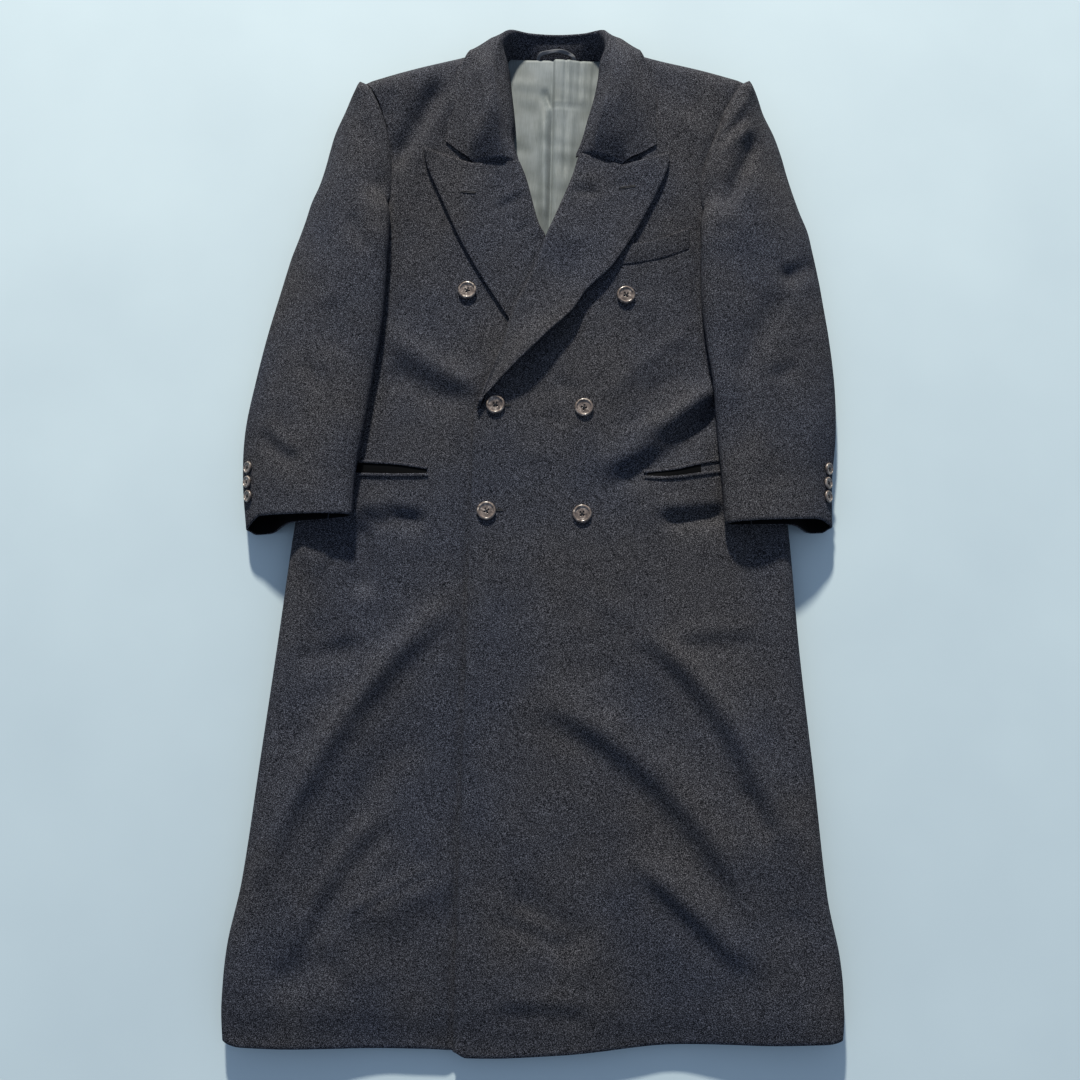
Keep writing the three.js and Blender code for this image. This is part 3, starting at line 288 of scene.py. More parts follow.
# Collar, left end to right end: foot of the stand, fold, a point on the fall, and outer edge
COLLAR = table(
    "foot_x foot_y fold_x fold_y mid_x mid_y edge_x edge_y",
    (-43, 490.5, -48, 491.5, -103, 487, -138, 512), (-52, 520, -57, 520, -100, 516, -137, 524),
    (-55, 548, -60, 548, -97, 548, -135, 550), (-59, 582, -66, 582, -96, 582, -131, 582),
    (-63, 612, -71, 612, -97, 612, -124, 610), (-66, 638, -73, 640, -94, 641, -115, 637),
    (-63, 655, -70, 664, -88, 672, -107, 667), (-53, 660, -58, 683, -70, 689, -82, 691),
    (-32, 661, -33, 687, -37, 693, -41, 697), (0, 661, 0, 687, 0, 693, 0, 697),
    (32, 662, 34, 688, 38, 694, 42, 698), (53, 661, 60, 684, 71, 690, 83, 692),
    (62, 657, 67, 664.5, 88, 674, 106, 669), (60, 638, 66, 641, 91, 645, 113, 641),
    (58, 612, 64, 612, 94, 616, 122, 614), (53, 582, 58, 582, 93, 584, 129, 587),
    (44, 548, 49, 548, 89, 550, 131, 552), (36, 522, 41, 522, 85, 518, 132, 528),
    (29, 501.5, 34, 502.5, 88, 487, 132, 514),
)
# Height of the fold by its distance from the middle of the neck
COLLAR_FOLD = table("x z", (0, 14), (34, 18), (59, 33), (67, 45))
# The gorge seams, where the ends of the collar meet the lapels
GORGE = table("x y", (-138, 512), (-103, 487), (-48, 491.5), (34, 502.5), (88, 487), (132, 514))
# How far the fall stands up over its middle, and the rise up to that, and along the gorge
COLLAR_SWELL, COLLAR_RISE = 15, 62
GORGE_LIP = 4
COLLAR_CREASES = table(
    "x1 y1 x2 y2 bow height width",
    (-78, 560, -111, 486, 0, 3.4, 8), (-58, 546, -86, 486, 0, -2.4, 9),
    (72, 536, 105, 488, 0, 3.0, 8), (96, 540, 118, 505, 0, -1.2, 9),
    (-100, 620, -92, 560, 3, 1.2, 12), (88, 630, 96, 566, -3, 1.0, 12),
)
COLLAR_FOOT_Z = 3.4
COLLAR_FLOOR = 2
# Between these the collar goes from lying on the fronts to standing behind the neck
COLLAR_FALL_START_Y, COLLAR_FALL_BEHIND_Y = 638, 668
# Steps of the fold's roll, out and up
COLLAR_ROLL = ((1.6, 1.6), (4.6, 2.2))
# How far the stand goes down into the coat beside the neck
FACING_DEPTH, FACING_SLANT = 36, 0.16
# How the ends of the collar turn in under the lapels
END_TURN_DOWN, END_TURN_Z = 6, 1.0
# The lapel beneath is tucked under the other front below this
TUCK_BELOW_Y = 390
TUCK = 12

# Lining in the neck, and the hanger loop
LINING = {"low": 372, "high": 660, "row": 4, "tuck": 13, "pleat": 4, "stand": 2, "deepest": -3.4}
LINING_CREASES = table(
    "x1 y1 x2 y2 bow height width",
    (14.4, 668, 14.5, 588, 0, -1.6, 2.2), (18, 668, 18, 588, 0, 1.3, 2.6),
    (34.6, 668, 33, 596, 0, -1.2, 2.6), (38, 662, 37, 596, 0, 1.2, 3),
    (52, 652, 50.5, 588, 0, -1.4, 2.4), (15.8, 590, 15, 488, 0, -1.2, 2.6),
    (26, 590, 22, 500, 1, 0.9, 4), (-13, 593, 37, 594, 0, -1.3, 1.8),
    (-13, 596.5, 37, 597.5, 0, 0.7, 2), (-2, 590, -2, 420, 0, -3, 3.6),
    (-13, 588, -10, 420, 0, 6, 6.5), (-14, 616, -6, 592, 0, -3, 4),
    (-30, 640, -24, 520, -2, 0.7, 8), (-45, 560, -20, 430, 3, -0.8, 8),
    (-46, 650, -42, 590, 2, 0.7, 7),
)
LOOP = {"x": 1, "y": 659.5, "half_width": 22, "width": 4.6, "rise": 8, "foot_z": 6.4, "wall": 1.1,
        "lean": 0.42, "bow": 2.2, "wave": 0.9}

# Hip pockets: each jet by points along its middle
JETS = {
    "right_pocket_upper_jet": ((-256, 94), (-223, 91.5), (-185, 90), (-145, 85)),
    "right_pocket_lower_jet": ((-256, 75), (-224, 75), (-184, 75), (-144, 76)),
    "left_pocket_upper_jet": ((120, 87), (160, 92), (186, 98.5), (213, 103.5), (240, 105)),
    "left_pocket_lower_jet": ((121, 80), (150, 79.5), (182, 84), (213, 89), (240, 91)),
}
JET_WIDTH = 4.6
JET_ROUND = 0.7

# Painted shade in the hip pockets' slits: where a near-black strip stands in for the shadow between the
# jets, in X, and how it lies there
SLIT_SHADE_SPANS = {"right": (-256, -146), "left": (124, 190)}
SLIT_SHADE_WALL, SLIT_SHADE_STAND = 0.5, 0.45

# Breast welt
WELT = {"x1": 78, "lower1": 349, "upper1": 374, "x2": 175, "lower2": 376, "upper2": 404, "sag": 4}

FRONT_BUTTONS = (
    "button_top_right", "button_top_left", "button_middle_right",
    "button_middle_left", "button_bottom_right", "button_bottom_left",
)
CUFF_BUTTONS = tuple(f"{side}_cuff_button_{n}" for side in ("right", "left") for n in (1, 2, 3))
# Radius, height, rim, dish, place of the holes and their radius; the fronts' are 23 mm, the cuffs' 15
FRONT_BUTTON_SIZES = (11.5, 4.2, 1.7, 1.2, 1.9, 0.95)
CUFF_BUTTON_SIZES = (7.5, 3.2, 1.2, 0.8, 1.35, 0.7)
BUTTON_TURNS = (0.35, -0.2, 0.15, 0.6, -0.3, 0.1)
THREAD_RADIUS, THREAD_APART = 0.26, 0.28

# Worked buttonholes: one on each lapel, and the ends that show beside the fastened buttons
BUTTONHOLES = {
    "right_lapel_buttonhole": (-116, 443.5, -97, 442.5),
    "left_lapel_buttonhole": (85, 452, 106, 454.5),
    "middle_buttonhole": (-52, 164.5, -45, 164.5),
    "bottom_buttonhole": (-59, 33.5, -51, 33.5),
}
STITCH_RADIUS, STITCH_STAND, LIP_APART = 0.62, 0.35, 0.95


# Shapes of the cloth: plain functions of a place on the coat, in millimetres


def smooth(low, high, value):
    t = np.clip((value - low) / (high - low), 0, 1)
    return t * t * (3 - 2 * t)


def mix(a, b, t):
    return a + (b - a) * t


def column(tab, by, name):
    """One column of a table as a smooth curve over another."""
    order = np.argsort(tab[by])
    xs, ys = tab[by][order], tab[name][order]
    slope = np.empty_like(ys)
    slope[1:-1] = (ys[2:] - ys[:-2]) / (xs[2:] - xs[:-2])
    slope[0] = (ys[1] - ys[0]) / (xs[1] - xs[0])
    slope[-1] = (ys[-1] - ys[-2]) / (xs[-1] - xs[-2])

    def at(value):
        v = np.clip(value, xs[0], xs[-1])
        i = np.clip(np.searchsorted(xs, v, side="right") - 1, 0, len(xs) - 2)
        span = xs[i + 1] - xs[i]
        t = (v - xs[i]) / span
        bend = t * (1 - t) * span * ((1 - t) * slope[i] - t * slope[i + 1])
        return mix(ys[i], ys[i + 1], t * t * (3 - 2 * t)) + bend

    return at


left_edge = column(BODY, "y", "left")
right_edge = column(BODY, "y", "right")
side_height = column(BODY, "y", "side")
middle_height = column(BODY, "y", "middle")
hem_y = column(HEM, "x", "y")
fold_height = column(COLLAR_FOLD, "x", "z")
gorge_y = column(GORGE, "x", "y")
over_break = column(BREAK["over"], "y", "x")
under_break = column(BREAK["under"], "y", "x")


def shoulder_y(x):
    near = []
    for side in ("left", "right"):
        s = SHOULDER[side]
        t = np.minimum((abs(s["x"]) - np.abs(x)) / (abs(s["x"]) - NECK_POINT_X), 1)
        near.append(mix(s["y"], s["neck_y"], t))
    return np.where(np.asarray(x) < 0, near[0], near[1])


def creases(tab, x, y):
    """Height that a table of ridges and troughs adds at each place."""
    total = np.zeros(np.broadcast(x, y).shape)
    for x1, y1, x2, y2, bow, height, width in zip(*(tab[name] for name in
                                                    "x1 y1 x2 y2 bow height width".split())):
        dx, dy = x2 - x1, y2 - y1
        length = math.hypot(dx, dy)
        along = ((x - x1) * dx + (y - y1) * dy) / length**2
        inside = np.clip(along, 0, 1)
        across = ((x - x1) * dy - (y - y1) * dx) / length - 4 * bow * inside * (1 - inside)
        ends = smooth(-0.12, 0.2, along) * smooth(1.12, 0.8, along)
        total = total + height * ends * np.exp(-((across / width) ** 2))
    return total


def uneven(x, y, size, seed):
    """Slow swell of cloth that has lain and been worn, about `size` mm across, from -1 to 1."""
    angle = np.array([0.3, 1.25, 2.1, 2.9, 0.8, 1.7]) + seed
    pitch = np.array([1.0, 1.31, 0.77, 1.13, 1.63, 0.91]) * math.tau / size
    phase = np.array([0.0, 1.9, 4.1, 2.7, 5.3, 0.9]) + 2.3 * seed
    waves = [np.sin((x * math.cos(a) + y * math.sin(a)) * p + f + 1.3 * np.sin(y * p * 0.37 + f))
             for a, p, f in zip(angle, pitch, phase)]
    return sum(waves) / 3.2


def inside_roll(x, y):
    side = np.minimum(x - left_edge(y), right_edge(y) - x) / SIDE_ROLL
    at_neck = smooth(NECK_POINT_X + 10, NECK_POINT_X - 2, np.abs(x))
    shoulder = mix((shoulder_y(x) - y) / SHOULDER_ROLL, 1, at_neck)
    return np.clip(np.minimum(side, shoulder), 0, 1)


def roll_height(x, y):
    edge = np.minimum(x - left_edge(y), right_edge(y) - x)
    return mix(middle_height(y), side_height(y), 1 - smooth(60, 200, edge))


def body_top(x, y):
    height = roll_height(x, y)
    crown = height + creases(FOLDS, x, y)
    rounding = np.sqrt(1 - (1 - inside_roll(x, y)) ** 2)
    return height / 2 + (crown - height / 2) * rounding


def body_bottom(x, y):
    rounding = np.sqrt(1 - (1 - inside_roll(x, y)) ** 2)
    return (roll_height(x, y) / 2) * (1 - rounding)


def over_top(x, y):
    lap = OVERLAP_LIFT * (1 - smooth(70, 150, x))
    near_break = 1 - smooth(0, 70, x - over_break(y))
    roll = ROLL_LINE_LIFT * near_break * smooth(150, 240, y) * smooth(470, 380, y)
    return body_top(x, y) + lap + roll


def under_top(x, y):
    edge = np.maximum(OVERLAP_EDGE_X, over_break(np.maximum(y, LAPEL_BREAK_Y)))
    covered = smooth(0, 34, x - edge)
    return body_top(x, y) - UNDERLAP_SINK * covered * (1 - smooth(330, 400, y))


def worn(x, y):
    """Creases and swell that the worn cloth of the fronts adds, fading out at its rolled edges."""
    away = smooth(0, 1, inside_roll(x, y))
    turned_hem = -4.0 * smooth(HEM_Y + 52, HEM_Y + 6, y)
    swell = 0.7 * uneven(x, y, 150, 0.0) + 0.28 * uneven(x, y, 62, 1.1)
    return away * (creases(FRONT_CREASES, x, y) + swell + turned_hem)


def spread(points, gap, even=False):
    """Smooth curves through rows of points, with steps of at most `gap`; straight ones if even."""
    steps = np.diff(points, axis=0)
    size = np.linalg.norm(steps, axis=2)
    span = np.maximum(size.mean(axis=1), 1e-3)[:, None, None]
    pace = steps / span
    slope = np.empty_like(points)
    slope[0], slope[-1] = pace[0], pace[-1]
    slope[1:-1] = (span[1:] * pace[:-1] + span[:-1] * pace[1:]) / (span[1:] + span[:-1])
    rows = []
    for i, count in enumerate(np.maximum(1, np.ceil(size.max(axis=1) / gap)).astype(int)):
        t = (np.arange(count) / count)[:, None, None]
        if even:
            rows.append(mix(points[i], points[i + 1], t))
            continue
        rows.append((2 * t**3 - 3 * t**2 + 1) * points[i] + (t**3 - 2 * t**2 + t) * span[i] * slope[i]
                    + (3 * t**2 - 2 * t**3) * points[i + 1] + (t**3 - t**2) * span[i] * slope[i + 1])
    return np.concatenate([*rows, points[-1:]])


def across(points, gap, even=False):
    return spread(points.swapaxes(0, 1), gap, even).swapaxes(0, 1)


# The body's panels


SHOULDER_STEPS = (22.5, 19, 16, 13, 10.5, 8, 6, 4, 2.4, 1.2, HALF_SEAM)


def body_rows(side, gap):
    top = SHOULDER[side]["y"]
    skirt = np.linspace(HEM_Y, UNDERARM_Y, round((UNDERARM_Y - HEM_Y) / gap) + 1)
    chest = np.linspace(UNDERARM_Y, top - 26, round(230 / gap) + 1)[1:]
    return np.concatenate([skirt, chest, top - np.array(SHOULDER_STEPS)])


ROLL_INSETS = np.array([0, 1.6, 3.4, 5.6, 8.2, 11, 14.5, 18, 22, 27, 34, 42])


def panel(side, height, inner, count, edge_column, hem, gap=ROW_GAP, neck=0):
    """Rows of a body piece: each starts at the side or armhole and tilts to follow the shoulder."""
    sign = SIGN[side]
    armhole = column(ARMHOLE[side], "y", edge_column)
    seam = left_edge if side == "left" else right_edge
    rows = []
    for row_y in body_rows(side, gap):
        start = float(seam(row_y) if row_y <= UNDERARM_Y else armhole(row_y))
        tilt = smooth(UNDERARM_Y, SHOULDER[side]["y"] - 40, row_y)
        to_hem = 1 - smooth(HEM_Y, HEM_Y + 160, row_y)

        def place_y(x):
            return row_y + tilt * (shoulder_y(x) - shoulder_y(start)) + to_hem * (hem(x) - HEM_Y)

        end = float(inner(row_y))
        for _ in range(4):
            end = float(inner(place_y(end)))
        width = abs(end - start)
        stop = 1 - neck / width
        shares = np.concatenate([ROLL_INSETS[:-1] / width,
                                 np.linspace(ROLL_INSETS[-1] / width, stop, count + 1)])
        if neck:
            shares = np.concatenate([shares, np.linspace(stop, 1, 15)[1:]])
        x = start - sign * shares * width
        y = place_y(x)
        rows.append(np.stack([x, y, height(x, y)], axis=-1))
    return np.array(rows)


LAPEL_INSET, COLLAR_INSET = 4.9, 11


def edge_inset(y):
    return mix(LAPEL_INSET, COLLAR_INSET, smooth(465, 492, y))


def over_inner(y):
    return OVERLAP_EDGE_X if y < LAPEL_BREAK_Y else over_break(y) + edge_inset(y)


def under_inner(y):
    return UNDERLAP_EDGE_X if y < LAPEL_BREAK_Y else under_break(y) - edge_inset(y)


def on_side_seam(rows):
    return rows[:, 0, 1] <= UNDERARM_Y + 0.1


def front_rows(side):
    """A front, pressed down a little along the armhole seam."""
    top, inner, count = (under_top, under_inner, 76) if side == "left" else (over_top, over_inner, 86)
    rows = panel(side, lambda x, y: top(x, y) + worn(x, y) + HALF_SEAM, inner, count, "front", hem_y)
    dip = SEAM_DIP * np.exp(-((ROLL_INSETS / SEAM_DIP_WIDTH) ** 2))
    above = smooth(UNDERARM_Y + 30, UNDERARM_Y + 80, rows[:, 0, 1])
    rows[:, :len(dip), 2] -= above[:, None] * dip
    return rows


def back_rows():
    def floor(x, y):
        return np.maximum(body_bottom(x, y) - np.where(inside_roll(x, y) < 1, HALF_SEAM, 0), 0)

    def hem(x):
        return np.maximum(hem_y(x), HEM_Y) + BACK_HEM_SHORTER

    halves = [panel(side, floor, lambda y: 0.0, 16, "back", hem, 9.2, NECK_POINT_X - 1)
              for side in ("left", "right")]
    return np.concatenate([halves[0], halves[1][:, ::-1][:, 1:]], axis=1)


# Sleeves

SLEEVE_FULLNESS = 2.4
TURN_COLUMNS = np.array([0, 0.17, 0.35, 0.53, 0.7])
TOP_COLUMNS = 0.5 - 0.5 * np.cos(np.linspace(0, math.pi, 46))
UNDER_COLUMNS = np.array([0, 0.012, 0.025, 0.05, 0.08, 0.12, 0.17, 0.23, 0.3, 0.375, 0.45, 0.525,
                          0.6, 0.675, 0.75, 0.82, 0.9, 0.95, 1])
FOLD_RISE = 9
ROPE_WIDTH, ROPE_RISE = 5, 4
SEAM_RISE = 0.9
HEAD_TURN_IN = (2.2, 3.2)
CUFF_SLANT = {"left": 14, "right": 8}
CUFF_DROP = 4
UNDERARM_INSET = 10
UNDERARM_OUT, UNDERARM_UP = 9, 6
TURNED = 5
FULL_TURN = 30


def bulge(t):
    return (1 - np.abs(2 * t - 1) ** SLEEVE_FULLNESS) ** (1 / SLEEVE_FULLNESS)


def front_top(side):
    return under_top if side == "left" else over_top


def sleeve_sections(side):
    """Where each section of a sleeve meets its seam, and where its inner fold is."""
    sign = SIGN[side]
    top = front_top(side)
    sections = []
    arm = SLEEVE[side]
    for i in range(len(arm["seam"])):
        row = {name: float(arm[name][i]) for name in arm}
        share = (row["seam"] - row["fold_x"]) / (row["out_x"] - row["fold_x"])
        seam_x, seam_y = row["seam"], mix(row["fold_y"], row["out_y"], share)
        fold = (row["fold_x"], row["fold_y"])
        sections.append({
            **row, "turned": 1.0, "head": 0.0, "hole_y": np.nan, "hole_back": np.nan,
            "sx": seam_x, "sy": seam_y, "sz": float(top(seam_x, seam_y)) + SLEEVE_CLEARANCE,
            "fx": fold[0], "fy": fold[1],
            "fz": float(top(*fold)) + SLEEVE_CLEARANCE + FOLD_RISE,
        })
    hole, cap = ARMHOLE[side], CAP[side]
    for i in range(len(hole["y"])):
        y, front, overhang = (float(v) for v in (hole["y"][i], hole["front"][i], cap["overhang"][i]))
        turned = overhang > TURNED
        first = y == UNDERARM_Y
        if first:
            seam = (front - sign * UNDERARM_INSET, y)
            sz = float(top(*seam)) + SLEEVE_CLEARANCE
        else:
            apart = (4 if SHOULDER[side]["y"] - y < 20 else 2) * SEAM
            seam = (front + sign * apart, y)
            sz = float(top(front, y)) + (SEAM_RISE if turned else 0)
        if first or turned:
            fx = front - sign * overhang
            rise = FOLD_RISE if first else FOLD_RISE * min(overhang / FULL_TURN, 1)
            fz = float(top(fx, y)) + SLEEVE_CLEARANCE + rise
        else:
            fx, fz = seam[0] + sign * ROPE_WIDTH, sz + ROPE_RISE
        sections.append({
            "out_x": float(cap["out_x"][i]), "out_y": float(cap["out_y"][i]),
            "crown": float(cap["crown"][i]), "edge": float(cap["edge"][i]),
            "turned": float(turned or first), "head": 0.0 if first else 1.0,
            "hole_y": y, "hole_back": float(hole["back"][i]), "underarm": first,
            "sx": seam[0], "sy": seam[1], "sz": sz, "fx": fx, "fy": y, "fz": fz,
        })
    return sections


def top_sleeve_rows(side):
    """From the seam beneath, round the inner fold, over the crown to the outer fold."""
    sign = SIGN[side]
    top = front_top(side)
    rows = []
    for s in sleeve_sections(side):
        x = mix(s["sx"], s["fx"], TURN_COLUMNS)
        y = mix(s["sy"], s["fy"], TURN_COLUMNS)
        lying = top(x, y) + SLEEVE_CLEARANCE
        z = np.where((s["turned"] > 0) & (TURN_COLUMNS > 0), lying, mix(s["sz"], s["fz"], TURN_COLUMNS))
        turn = np.stack([x, y, z], axis=-1)
        t = TOP_COLUMNS
        out_z = s["edge"] / 2 + HALF_SEAM
        peak = s["crown"] - mix(s["fz"], out_z, 0.4)
        soft = bulge(t)
        if not s["turned"]:
            soft = bulge(np.maximum(t, 0.5)) * np.where(t < 0.5, np.sin(math.pi * t), 1)
        over = np.stack([mix(s["fx"], s["out_x"], t), mix(s["fy"], s["out_y"], t),
                         mix(s["fz"], out_z, t) + peak * soft], axis=-1)
        if s["head"] and not s["turned"]:
            turn[0] += (-sign * HEAD_TURN_IN[0], 0, -HEAD_TURN_IN[1])
        rows.append(np.concatenate([turn, over]))
    rows = spread(np.array(rows), 5.0)
    t = np.concatenate([np.zeros(len(TURN_COLUMNS)), TOP_COLUMNS])
    x, y = rows[..., 0], rows[..., 1]
    away = np.sin(math.pi * np.clip(t, 0, 1)) ** 0.6
    rows[..., 1] += CUFF_SLANT[side] * t * smooth(1, 0.84, t) * smooth(70, 22, y)
    swell = 0.8 * uneven(x, y, 120, 2.2 if side == "left" else 3.1) + 0.3 * uneven(x, y, 55, 0.6)
    rows[..., 2] += away * (creases(SLEEVE_CREASES, x, y) + swell)
    return rows


def sleeve_support(side, x, y):
    inside = x - left_edge(y) if side == "left" else right_edge(y) - x
    on_body = np.maximum(inside, SIDE_ROLL)
    body_x = left_edge(y) + on_body if side == "left" else right_edge(y) - on_body
    return (body_top(body_x, y) + SLEEVE_CLEARANCE) * smooth(-34, 6, inside)


def under_sleeve_rows(side):
    """From the outer fold along the floor, up over the body's side to the seam."""
    sign = SIGN[side]
    rows = []
    for i, s in enumerate(sleeve_sections(side)):
        below = math.isnan(s["hole_y"])
        underarm = bool(s.get("underarm"))
        near_top = not below and SHOULDER[side]["y"] - s["hole_y"] < 20
        aside = UNDERARM_OUT if underarm else (7 if near_top else 2) * SEAM
        end_x = s["sx"] + sign * SEAM if below else s["hole_back"] + sign * aside
        end_y = s["sy"] if below else s["fy"] + (UNDERARM_UP if underarm else 0)
        t = UNDER_COLUMNS
        x, y = mix(s["out_x"], end_x, t), mix(s["out_y"], end_y, t)
        if below:
            rest = sleeve_support(side, x, y)
        elif underarm:
            rest = side_height(y) / 2 * smooth(0.4, 1, t)
        else:
            rest = np.full_like(t, float(body_bottom(s["hole_back"], s["hole_y"])))
        out_z = s["edge"] / 2 - HALF_SEAM
        roll = 1 - np.sqrt(1 - (1 - np.minimum(np.abs(x - s["out_x"]) / SLEEVE_ROLL, 1)) ** 2)
        rows.append(np.stack([x, y, mix(rest, out_z, roll)], axis=-1))
    rows = spread(np.array(rows), 6.0)
    rows[..., 2] = np.maximum(rows[..., 2], 0)
    t = UNDER_COLUMNS
    rows[..., 1] -= CUFF_DROP * smooth(0, 0.08, t) * smooth(0.5, 0.25, t) * smooth(60, 22, rows[..., 1])
    return rows


# Lapels and collar

CURL = np.array([(0.9, -2.9), (0, -0.5), (0.8, 2.2), (3.4, 4.6)])
ROLL_PUFF = 2.2


def lapel_rows(side):
    """Turned back at the break, over its own front, out to the free edge."""
    sign = SIGN[side]
    top = front_top(side)
    break_x = under_break if side == "left" else over_break
    tab = dict(LAPEL[side])

    def fold_in(y):
        if side == "right":
            return 0.0, float(break_x(y))
        under = float(over_break(y) + TUCK * smooth(TUCK_BELOW_Y, 360, y))
        share = float(smooth(TUCK_BELOW_Y + 12, TUCK_BELOW_Y - 10, y))
        return share, float(mix(break_x(y), under, share))

    start = np.array([fold_in(y)[1] for y in tab["y"]])
    tab["mid_x"] = np.where(np.isnan(tab["mid_x"]), mix(start, tab["edge_x"], 0.5), tab["mid_x"])
    tab["mid_y"] = np.where(np.isnan(tab["mid_y"]), mix(tab["y"], tab["edge_y"], 0.5), tab["mid_y"])
    at = {name: column(tab, "y", name) for name in tab if name != "y"}
    curl = across(np.pad(CURL, ((0, 0), (0, 1)))[None], 0.8)[0]
    reach, crest = CURL[-1]
    shares = np.concatenate([np.linspace(0.04, 0.5, 14), np.linspace(0.5, 1, 15)[1:]])
    rows = []
    count = int((tab["y"].max() - tab["y"].min()) / 3.6)
    for y0 in np.linspace(tab["y"].max(), tab["y"].min(), count):
        mid_x, mid_y, edge_x, edge_y, lift = (
            float(at[name](y0)) for name in "mid_x mid_y edge_x edge_y lift".split())
        tucked, start_x = fold_in(y0)

        def puff(t):
            return (1 - tucked) * ROLL_PUFF * np.exp(-((t / 0.3) ** 2))

        def lying(x, y):
            return top(x, y) + worn(x, y) + LAPEL_CLEARANCE + WALL

        steps = np.linspace(0, reach, len(curl))
        x = start_x + sign * mix(curl[:, 0], steps, tucked)
        y = np.full_like(x, y0)
        curled = top(x, y) + worn(x, y) + curl[:, 1] + puff(0 * x) * np.maximum(curl[:, 1], 0) / crest
        near = np.stack([x, y, mix(curled, lying(x, y), tucked)], axis=-1)
        half = shares * 2
        x = np.where(half <= 1, mix(start_x + sign * reach, mid_x, half), mix(mid_x, edge_x, half - 1))
        y = np.where(half <= 1, mix(y0, mid_y, half), mix(mid_y, edge_y, half - 1))
        z = lying(x, y) + puff(shares) + lift * smooth(0, 1, shares)
        z = z + smooth(0, 0.12, shares) * smooth(1.05, 0.85, shares) * creases(LAPEL_CREASES, x, y)
        rows.append(np.concatenate([near, np.stack([x, y, z], axis=-1)]))
    return np.array(rows)


def collar_rows():
    """From the foot of the stand, over the fold, out to the edge of the fall, with its ends turned in."""
    def front(x, y):
        return np.where(np.asarray(x) < 0, under_top(x, y), over_top(x, y))

    def fall_rest(x, y):
        beyond = y - shoulder_y(x)
        within = np.minimum(y, shoulder_y(x) - SHOULDER_ROLL)
        return front(x, within) * smooth(36, -8, beyond) + COLLAR_FLOOR

    rows = []
    shares = np.concatenate([np.linspace(0.1, 0.5, 9), np.linspace(0.5, 1, 13)[1:]])
    for i in range(len(COLLAR["foot_x"])):
        r = {name: float(COLLAR[name][i]) for name in COLLAR}
        behind = smooth(COLLAR_FALL_START_Y, COLLAR_FALL_BEHIND_Y, r["fold_y"])
        neck_top = float(front(r["fold_x"], min(r["fold_y"], NECK_SEAM_Y - SHOULDER_ROLL)))
        foot_z = mix(neck_top - 3, COLLAR_FOOT_Z, behind)
        fold_z = mix(neck_top + 2, float(fold_height(abs(r["fold_x"]))), behind)
        deep = FACING_DEPTH * (1 - behind) * smooth(500, 560, r["foot_y"])
        aside = FACING_SLANT * deep if r["foot_x"] < 0 else 0
        points = [
            (r["foot_x"] + aside, r["foot_y"], foot_z - deep),
            (mix(r["foot_x"], r["fold_x"], 0.45 + 0.1 * behind), mix(r["foot_y"], r["fold_y"], 0.5),
             mix(foot_z, fold_z, 0.5)),
            (r["fold_x"], r["fold_y"], fold_z),
        ]
        away = np.array([r["mid_x"] - r["fold_x"], r["mid_y"] - r["fold_y"]])
        away /= np.linalg.norm(away)
        points += [(r["fold_x"] + away[0] * out, r["fold_y"] + away[1] * out, fold_z + up)
                   for out, up in COLLAR_ROLL]
        sx, sy, sz = points[-1]
        near = spread(np.array(points)[:, None], 2.6)[:, 0]
        near = near[np.linspace(0, len(near) - 1, 14).round().astype(int)]
        half = shares * 2
        x = np.where(half <= 1, mix(sx, r["mid_x"], half), mix(r["mid_x"], r["edge_x"], half - 1))
        y = np.where(half <= 1, mix(sy, r["mid_y"], half), mix(r["mid_y"], r["edge_y"], half - 1))
        lying = fall_rest(x, y) + LAPEL_CLEARANCE + ROLL_PUFF * np.exp(-((shares / 0.3) ** 2))
        edge_z = float(fall_rest(r["edge_x"], r["edge_y"]))
        above = y - gorge_y(x)
        rise = 1 - (1 - np.clip(above / COLLAR_RISE, 0, 1)) ** 2
        swell = COLLAR_SWELL * rise * smooth(655, 600, y) * mix(1, 0.3, smooth(0.3, 0.9, shares))
        lip = GORGE_LIP * smooth(0.5, 0.3, shares) * smooth(110, 60, above)
        shaped = ((swell + lip) * smooth(1.0, 0.75, shares)
                  + smooth(0, 0.1, shares) * creases(COLLAR_CREASES, x, y))
        z = mix(lying + shaped, mix(sz, edge_z, shares), behind)
        rows.append(np.concatenate([near, np.stack([x, y, z], axis=-1)]))
    rows = spread(np.array(rows), 3.8)
    share = np.concatenate([np.zeros(14), shares])
    turned_in = [rows]
    for end in (0, -1):
        flap = rows[end].copy()
        covered = smooth(0.56, 0.42, share)
        flap[:, 1] -= END_TURN_DOWN * covered
        flap[:, 2] = mix(flap[:, 2], front(flap[:, 0], flap[:, 1]) + END_TURN_Z, covered)
        turned_in.insert(0 if end == 0 else 2, flap[None])
    return np.concatenate(turned_in)


def lining_rows():
    """The back lining as it shows in the neck, tucked under the fronts on both sides."""
    share = np.concatenate([np.linspace(-1, -0.12, 22), np.linspace(-0.1, 0.1, 17),
                            np.linspace(0.12, 1, 26)])
    rows = []
    for y in np.arange(LINING["low"], LINING["high"] + 0.1, LINING["row"]):
        tuck = LINING["tuck"] * smooth(LINING["high"] - 5, LINING["high"] - 50, y) - 1
        low, high = float(under_break(y)) - tuck, float(over_break(y)) + tuck
        x = np.where(share < 0, low * -share, high * share)
        pleat = LINING["pleat"] * smooth(-3, 0.5, x) * (1 - smooth(6, 42, x))
        folds = np.maximum(creases(LINING_CREASES, x, y), LINING["deepest"])
        z = WALL + SEAM + LINING_WALL + LINING["stand"] + pleat + folds + 0.5 * (1 + uneven(x, y, 46, 0.4))
        rows.append(np.stack([x, np.full_like(x, y), z], axis=-1))
    return np.array(rows)


